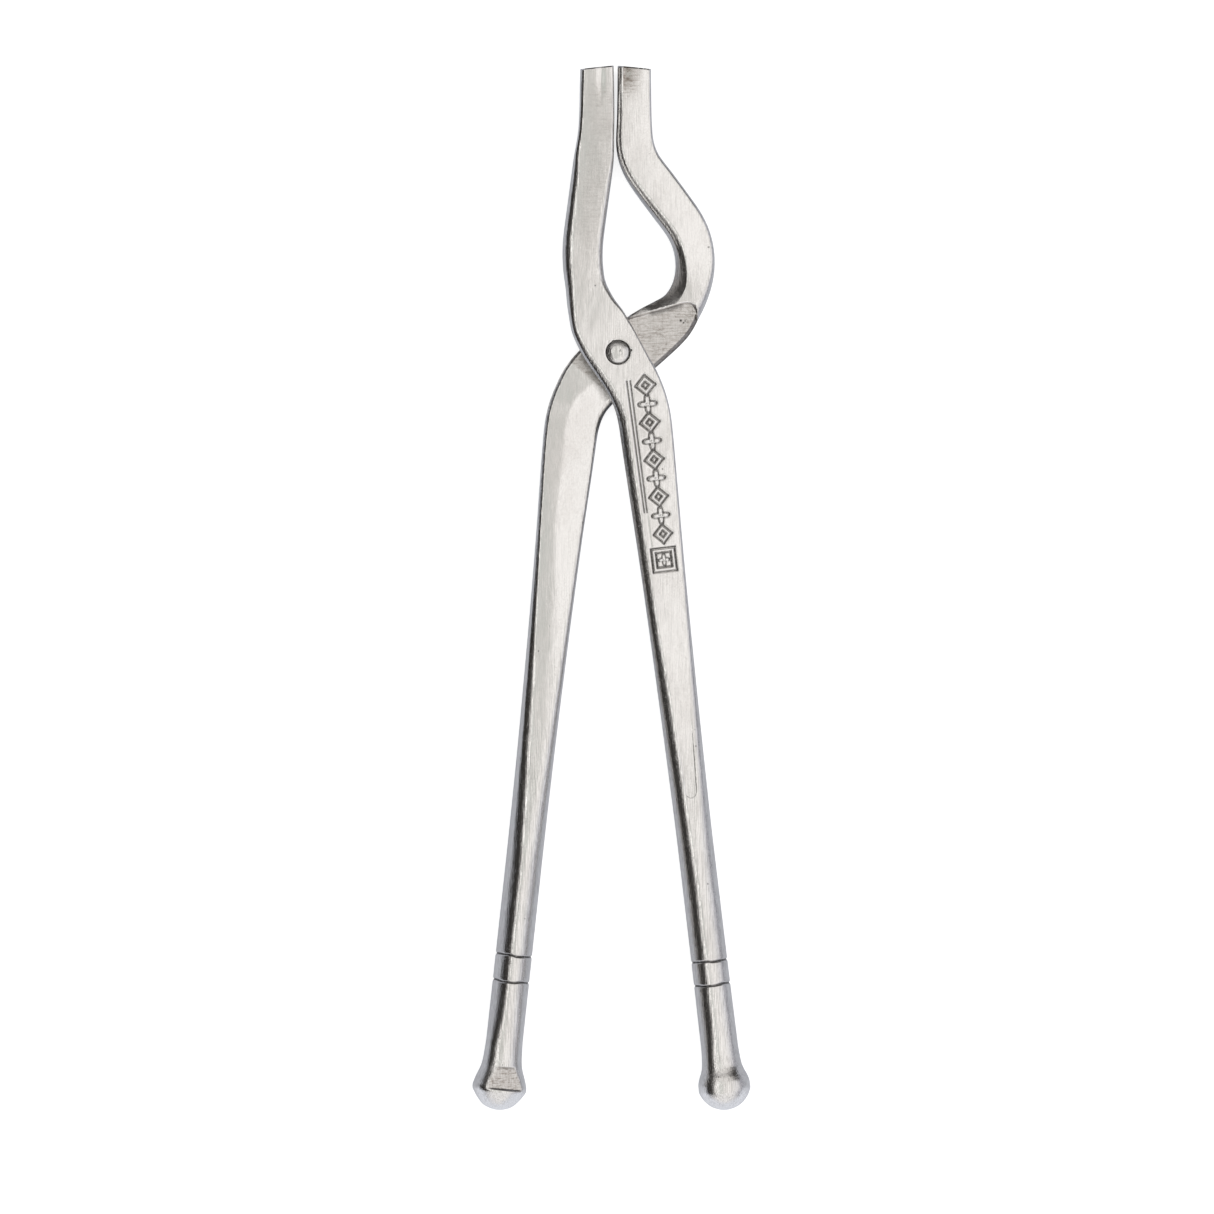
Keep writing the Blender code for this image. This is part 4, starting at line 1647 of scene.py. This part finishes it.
def upper_lever() -> UpperLever:
    """The upper lever's sizes.

    Returns:
        The lever, not yet built.
    """
    elbow = (5.1, -9.6)
    nose_x = -4.42
    jaw = ((nose_x, TIP_REACH), (nose_x, TIP_REACH - 15.1), (-8.75, 13.3))
    corners = (*jaw, elbow, handle_end(elbow, 6.8))
    line = CentreLine(corners, (94.0, 34.0, 26.0))
    bar = ((106.0, 3.4), (170.0, 5.4))
    side = Corner(
        run=Keys((
            (-62.0, 1.1), (-50.0, 0.95), (-44.0, 1.1), (-39.0, 1.8), (-30.0, 2.1), (-20.0, 2.3),
            (-12.0, 1.8), (-7.0, 1.5), (-2.0, 1.6), (6.0, 1.8), (16.0, 1.95), (55.0, 2.1), (75.0, 2.7),
            (92.0, 3.05), *bar,
        )),
        drop=Keys((
            (-62.0, 1.3), (-44.0, 1.2), (-39.0, 1.9), (-20.0, 2.4), (-12.0, 1.9), (-2.0, 1.2),
            (6.0, 1.15), (16.0, 1.4), (55.0, 1.65), (75.0, 2.2), (92.0, 2.9), *bar,
        )),
        fullness=Keys((
            (-62.0, 1.9), (-10.0, 1.9), (-4.0, 1.5), (2.0, 1.35), (60.0, 1.4), (115.0, 1.58),
            (143.0, 1.6), (150.0, 2.0),
        )),
        seam=Keys((
            (-61.0, 0.0), (-58.0, 0.05), (-30.0, 0.09), (-8.0, 0.06), (10.0, 0.06), (80.0, 0.05),
            (122.0, 0.03), (126.0, 0.0),
        )),
    )
    gap_side = Corner(
        run=Keys((
            (-62.0, 0.45), (-45.0, 0.55), (-38.0, 1.0), (-30.0, 1.3), (-18.0, 1.3), (-11.0, 1.0),
            (-6.5, 0.6), (6.0, 0.55), (45.0, 0.7), (55.0, 1.0), (75.0, 1.7), (93.0, 2.35), *bar,
        )),
        drop=Keys(((-62.0, 0.7), (-38.0, 1.3), (-18.0, 1.6), (-6.5, 0.7), (45.0, 0.9), (75.0, 1.9), *bar)),
        fullness=Keys(((-62.0, 1.9), (110.0, 1.9))),
    )
    under = Corner(
        run=Keys(((-62.0, 1.5), (-18.0, 1.5), (0.0, 0.8), (14.0, 0.8), (60.0, 2.0), *bar)),
        drop=Keys(((-62.0, 2.0), (-18.0, 2.0), (-12.0, 1.0), (14.0, 1.0), (60.0, 2.2), *bar)),
    )
    return UpperLever(
        name="upper_lever_forging",
        node="upper_lever",
        body="upper",
        side=Side.TOP,
        line=line,
        half_width=Keys((
            (-62.5, 3.5), (-57.0, 3.6), (-49.0, 3.74), (-41.0, 4.22), (-24.0, 4.23), (-17.0, 4.2),
            (-11.7, 4.95), (-7.0, 5.88), (-3.0, 6.02), (5.0, 5.66), (17.0, 5.54), (30.0, 5.17),
            (46.0, 4.67), (63.0, 4.31), (88.0, 3.92), (105.0, 3.77), (130.0, 3.8), (152.0, 3.9),
        )),
        outer=Keys(((-30.0, 3.65), (-6.0, 5.05), (16.0, 5.05), (40.0, 4.6), (100.0, 3.85))),
        inner=Keys(((-17.2, -3.65), (-15.5, 0.15), (14.0, 0.15), (39.0, -3.6), (100.0, -3.8))),
        crown=Keys(((-60.0, 0.05), (-25.0, 0.06), (-12.0, 0.02), (30.0, 0.02), (60.0, 0.03), (100.0, 0.0))),
        tilt=Keys((
            (-62.0, -0.026), (-44.0, -0.042), (-28.0, -0.026), (-12.0, 0.0), (20.0, 0.0), (50.0, 0.012),
            (85.0, 0.014), (100.0, 0.03), (138.0, 0.03), (148.0, 0.0),
        )),
        corners={"top_left": side, "top_right": gap_side, "bottom_left": under, "bottom_right": under},
        knob=Knob((
            (0.0, 0.0), (0.75, 2.8), (2.0, 4.25), (3.2, 5.05), (4.4, 5.45), (5.6, 5.42), (6.9, 5.1),
            (8.2, 4.55), (9.5, 4.18), (11.5, 3.98), (14.0, 3.88),
        )),
        stretches=(
            (line.start, line.start + 9.0, 0.4), (line.start + 9.0, -22.0, 0.7), (-22.0, -18.5, 0.45),
            (-18.5, -14.6, 0.13), (-14.6, -4.5, 0.5), (-4.5, 4.0, 0.16), (4.0, 48.5, 0.17),
            (48.5, 92.5, 0.9), (92.5, 96.0, 0.12), (96.0, 100.0, 0.8),
        ),
        groove_places=(31.5, 26.5),
        jaw_inner=1,
        face_points=82,
        corner_points=10,
        wall_points=3,
        back_points=12,
    )


def lower_lever() -> LowerLever:
    """The lower lever's sizes.

    Returns:
        The lever, not yet built.
    """
    elbow = (-9.0, -7.8)
    nose_x = 3.42
    jaw = ((nose_x, TIP_REACH), (nose_x, TIP_REACH - 19.4), (22.7, 15.3))
    corners = (*jaw, elbow, handle_end(elbow, -6.2))
    line = CentreLine(corners, (12.4, 17.2, 20.0))
    bar = ((104.0, 3.4), (170.0, 5.4))
    gap_side = Corner(
        run=Keys((
            (-71.0, 1.1), (-58.0, 1.25), (-50.0, 1.6), (-40.0, 2.0), (-26.0, 2.3), (-20.0, 3.0),
            (-14.0, 3.1), (-9.0, 1.2), (-2.0, 0.7), (12.0, 0.85), (36.0, 1.0), (56.0, 1.6), (72.0, 2.5),
            (88.0, 3.1), *bar,
        )),
        drop=Keys((
            (-71.0, 0.9), (-50.0, 1.4), (-40.0, 1.9), (-26.0, 2.1), (-20.0, 2.3), (-14.0, 1.9),
            (-9.0, 0.55), (0.0, 0.6), (12.0, 1.25), (36.0, 1.45), (56.0, 1.9), (72.0, 2.3), (88.0, 3.0),
            *bar,
        )),
        fullness=Keys((
            (-71.0, 1.5), (-34.0, 1.55), (-26.0, 1.25), (-20.0, 1.12), (-10.0, 1.12), (-4.0, 1.5),
            (0.0, 1.8), (80.0, 1.8), (112.0, 1.58), (143.0, 1.6), (150.0, 2.0),
        )),
        seam=Keys((
            (-70.0, 0.0), (-66.0, 0.10), (-54.0, 0.15), (-34.0, 0.15), (-24.0, 0.03), (-10.0, 0.0),
            (4.0, 0.05), (80.0, 0.05), (122.0, 0.05), (126.0, 0.0),
        )),
    )
    side = Corner(
        run=Keys((
            (-71.0, 0.5), (-50.0, 0.7), (-30.0, 0.75), (-25.0, 1.0), (-20.0, 1.8), (-16.5, 2.2),
            (-10.0, 0.8), (0.0, 0.7), (7.0, 1.15), (14.0, 1.1), (24.0, 0.7), (50.0, 0.9), (66.0, 1.4),
            (84.0, 2.3), *bar,
        )),
        drop=Keys((
            (-71.0, 0.8), (-30.0, 1.0), (-25.0, 1.3), (-20.0, 2.0), (-16.5, 2.4), (-10.0, 1.0),
            (0.0, 0.8), (14.0, 0.85), (24.0, 0.9), (66.0, 1.7), *bar,
        )),
        fullness=Keys(((-71.0, 1.9), (110.0, 1.9))),
    )
    under = Corner(
        run=Keys(((-71.0, 1.5), (-18.0, 1.6), (0.0, 1.2), (60.0, 2.0), *bar)),
        drop=Keys(((-71.0, 1.6), (-18.0, 1.6), (0.0, 1.2), (60.0, 2.2), *bar)),
    )
    return LowerLever(
        name="lower_lever_forging",
        node="lower_lever",
        body="lower",
        side=Side.BOTTOM,
        line=line,
        half_width=Keys((
            (-71.6, 3.5), (-61.0, 3.62), (-52.0, 4.1), (-43.5, 4.35), (-30.0, 4.18), (-21.0, 4.05),
            (-17.5, 4.2), (-13.0, 5.12), (-8.7, 5.7), (0.0, 6.36), (5.0, 6.45), (8.7, 6.3),
            (13.0, 5.88), (26.0, 5.48), (43.0, 4.83), (65.0, 4.29), (91.0, 3.9), (110.0, 3.81),
            (152.0, 3.85),
        )),
        outer=Keys(((-30.0, 3.65), (-6.0, 5.05), (16.0, 5.05), (40.0, 4.6), (100.0, 3.8))),
        inner=Keys((
            (-36.0, -3.65), (-25.0, -2.9), (-16.0, -2.1), (-6.0, -2.0), (-5.0, 0.15), (13.5, 0.15),
            (17.5, -0.25), (36.0, -3.2), (42.0, -3.55), (100.0, -3.8),
        )),
        crown=Keys(((-70.0, 0.04), (-20.0, 0.04), (8.0, 0.0), (100.0, 0.0))),
        tilt=Keys(((-71.0, 0.012), (-50.0, 0.008), (-30.0, 0.02), (-10.0, 0.0), (100.0, 0.0))),
        corners={"top_left": gap_side, "top_right": side, "bottom_left": under, "bottom_right": under},
        knob=Knob((
            (0.0, 0.0), (0.75, 2.85), (1.9, 4.1), (3.1, 5.0), (4.35, 5.66), (4.8, 5.68), (5.9, 5.45),
            (7.2, 5.02), (8.4, 4.56), (9.7, 4.22), (11.5, 4.02), (14.5, 3.88),
        )),
        stretches=(
            (line.start, line.start + 9.0, 0.4), (line.start + 9.0, -27.0, 0.7), (-27.0, -3.0, 0.18),
            (-3.0, 16.0, 0.5), (16.0, 100.0, 0.9),
        ),
        groove_places=(32.7, 27.15),
        jaw_inner=-1,
        face_points=52,
        corner_points=20,
        wall_points=4,
        back_points=14,
    )


def main() -> None:
    """Builds the levers, the rivet and the studio, and reports each piece."""
    groups = {
        "lines": brushing_group(),
        "pits": pitting_group(),
        "wear_and_shade": wear_and_shade_group(),
        "milling": milling_group(),
    }
    lever_steel = SteelFinish("polished_steel").build(groups)
    hammered = SteelFinish("hammered_steel", gloss=(0.12, 0.2), unevenness=2.0, grime_and_shade_strength=0.6)
    rivet_steel = hammered.build(groups)
    for piece, finish in ((lower_lever(), lever_steel), (upper_lever(), lever_steel), (Rivet(), rivet_steel)):
        piece.build()
        piece.dress(finish)
    studio = Studio()
    studio.floor()
    studio.world()
    studio.key_light()
    studio.camera()
    bpy.context.scene.view_settings.view_transform = "Standard"


if __name__ == "__main__":
    main()
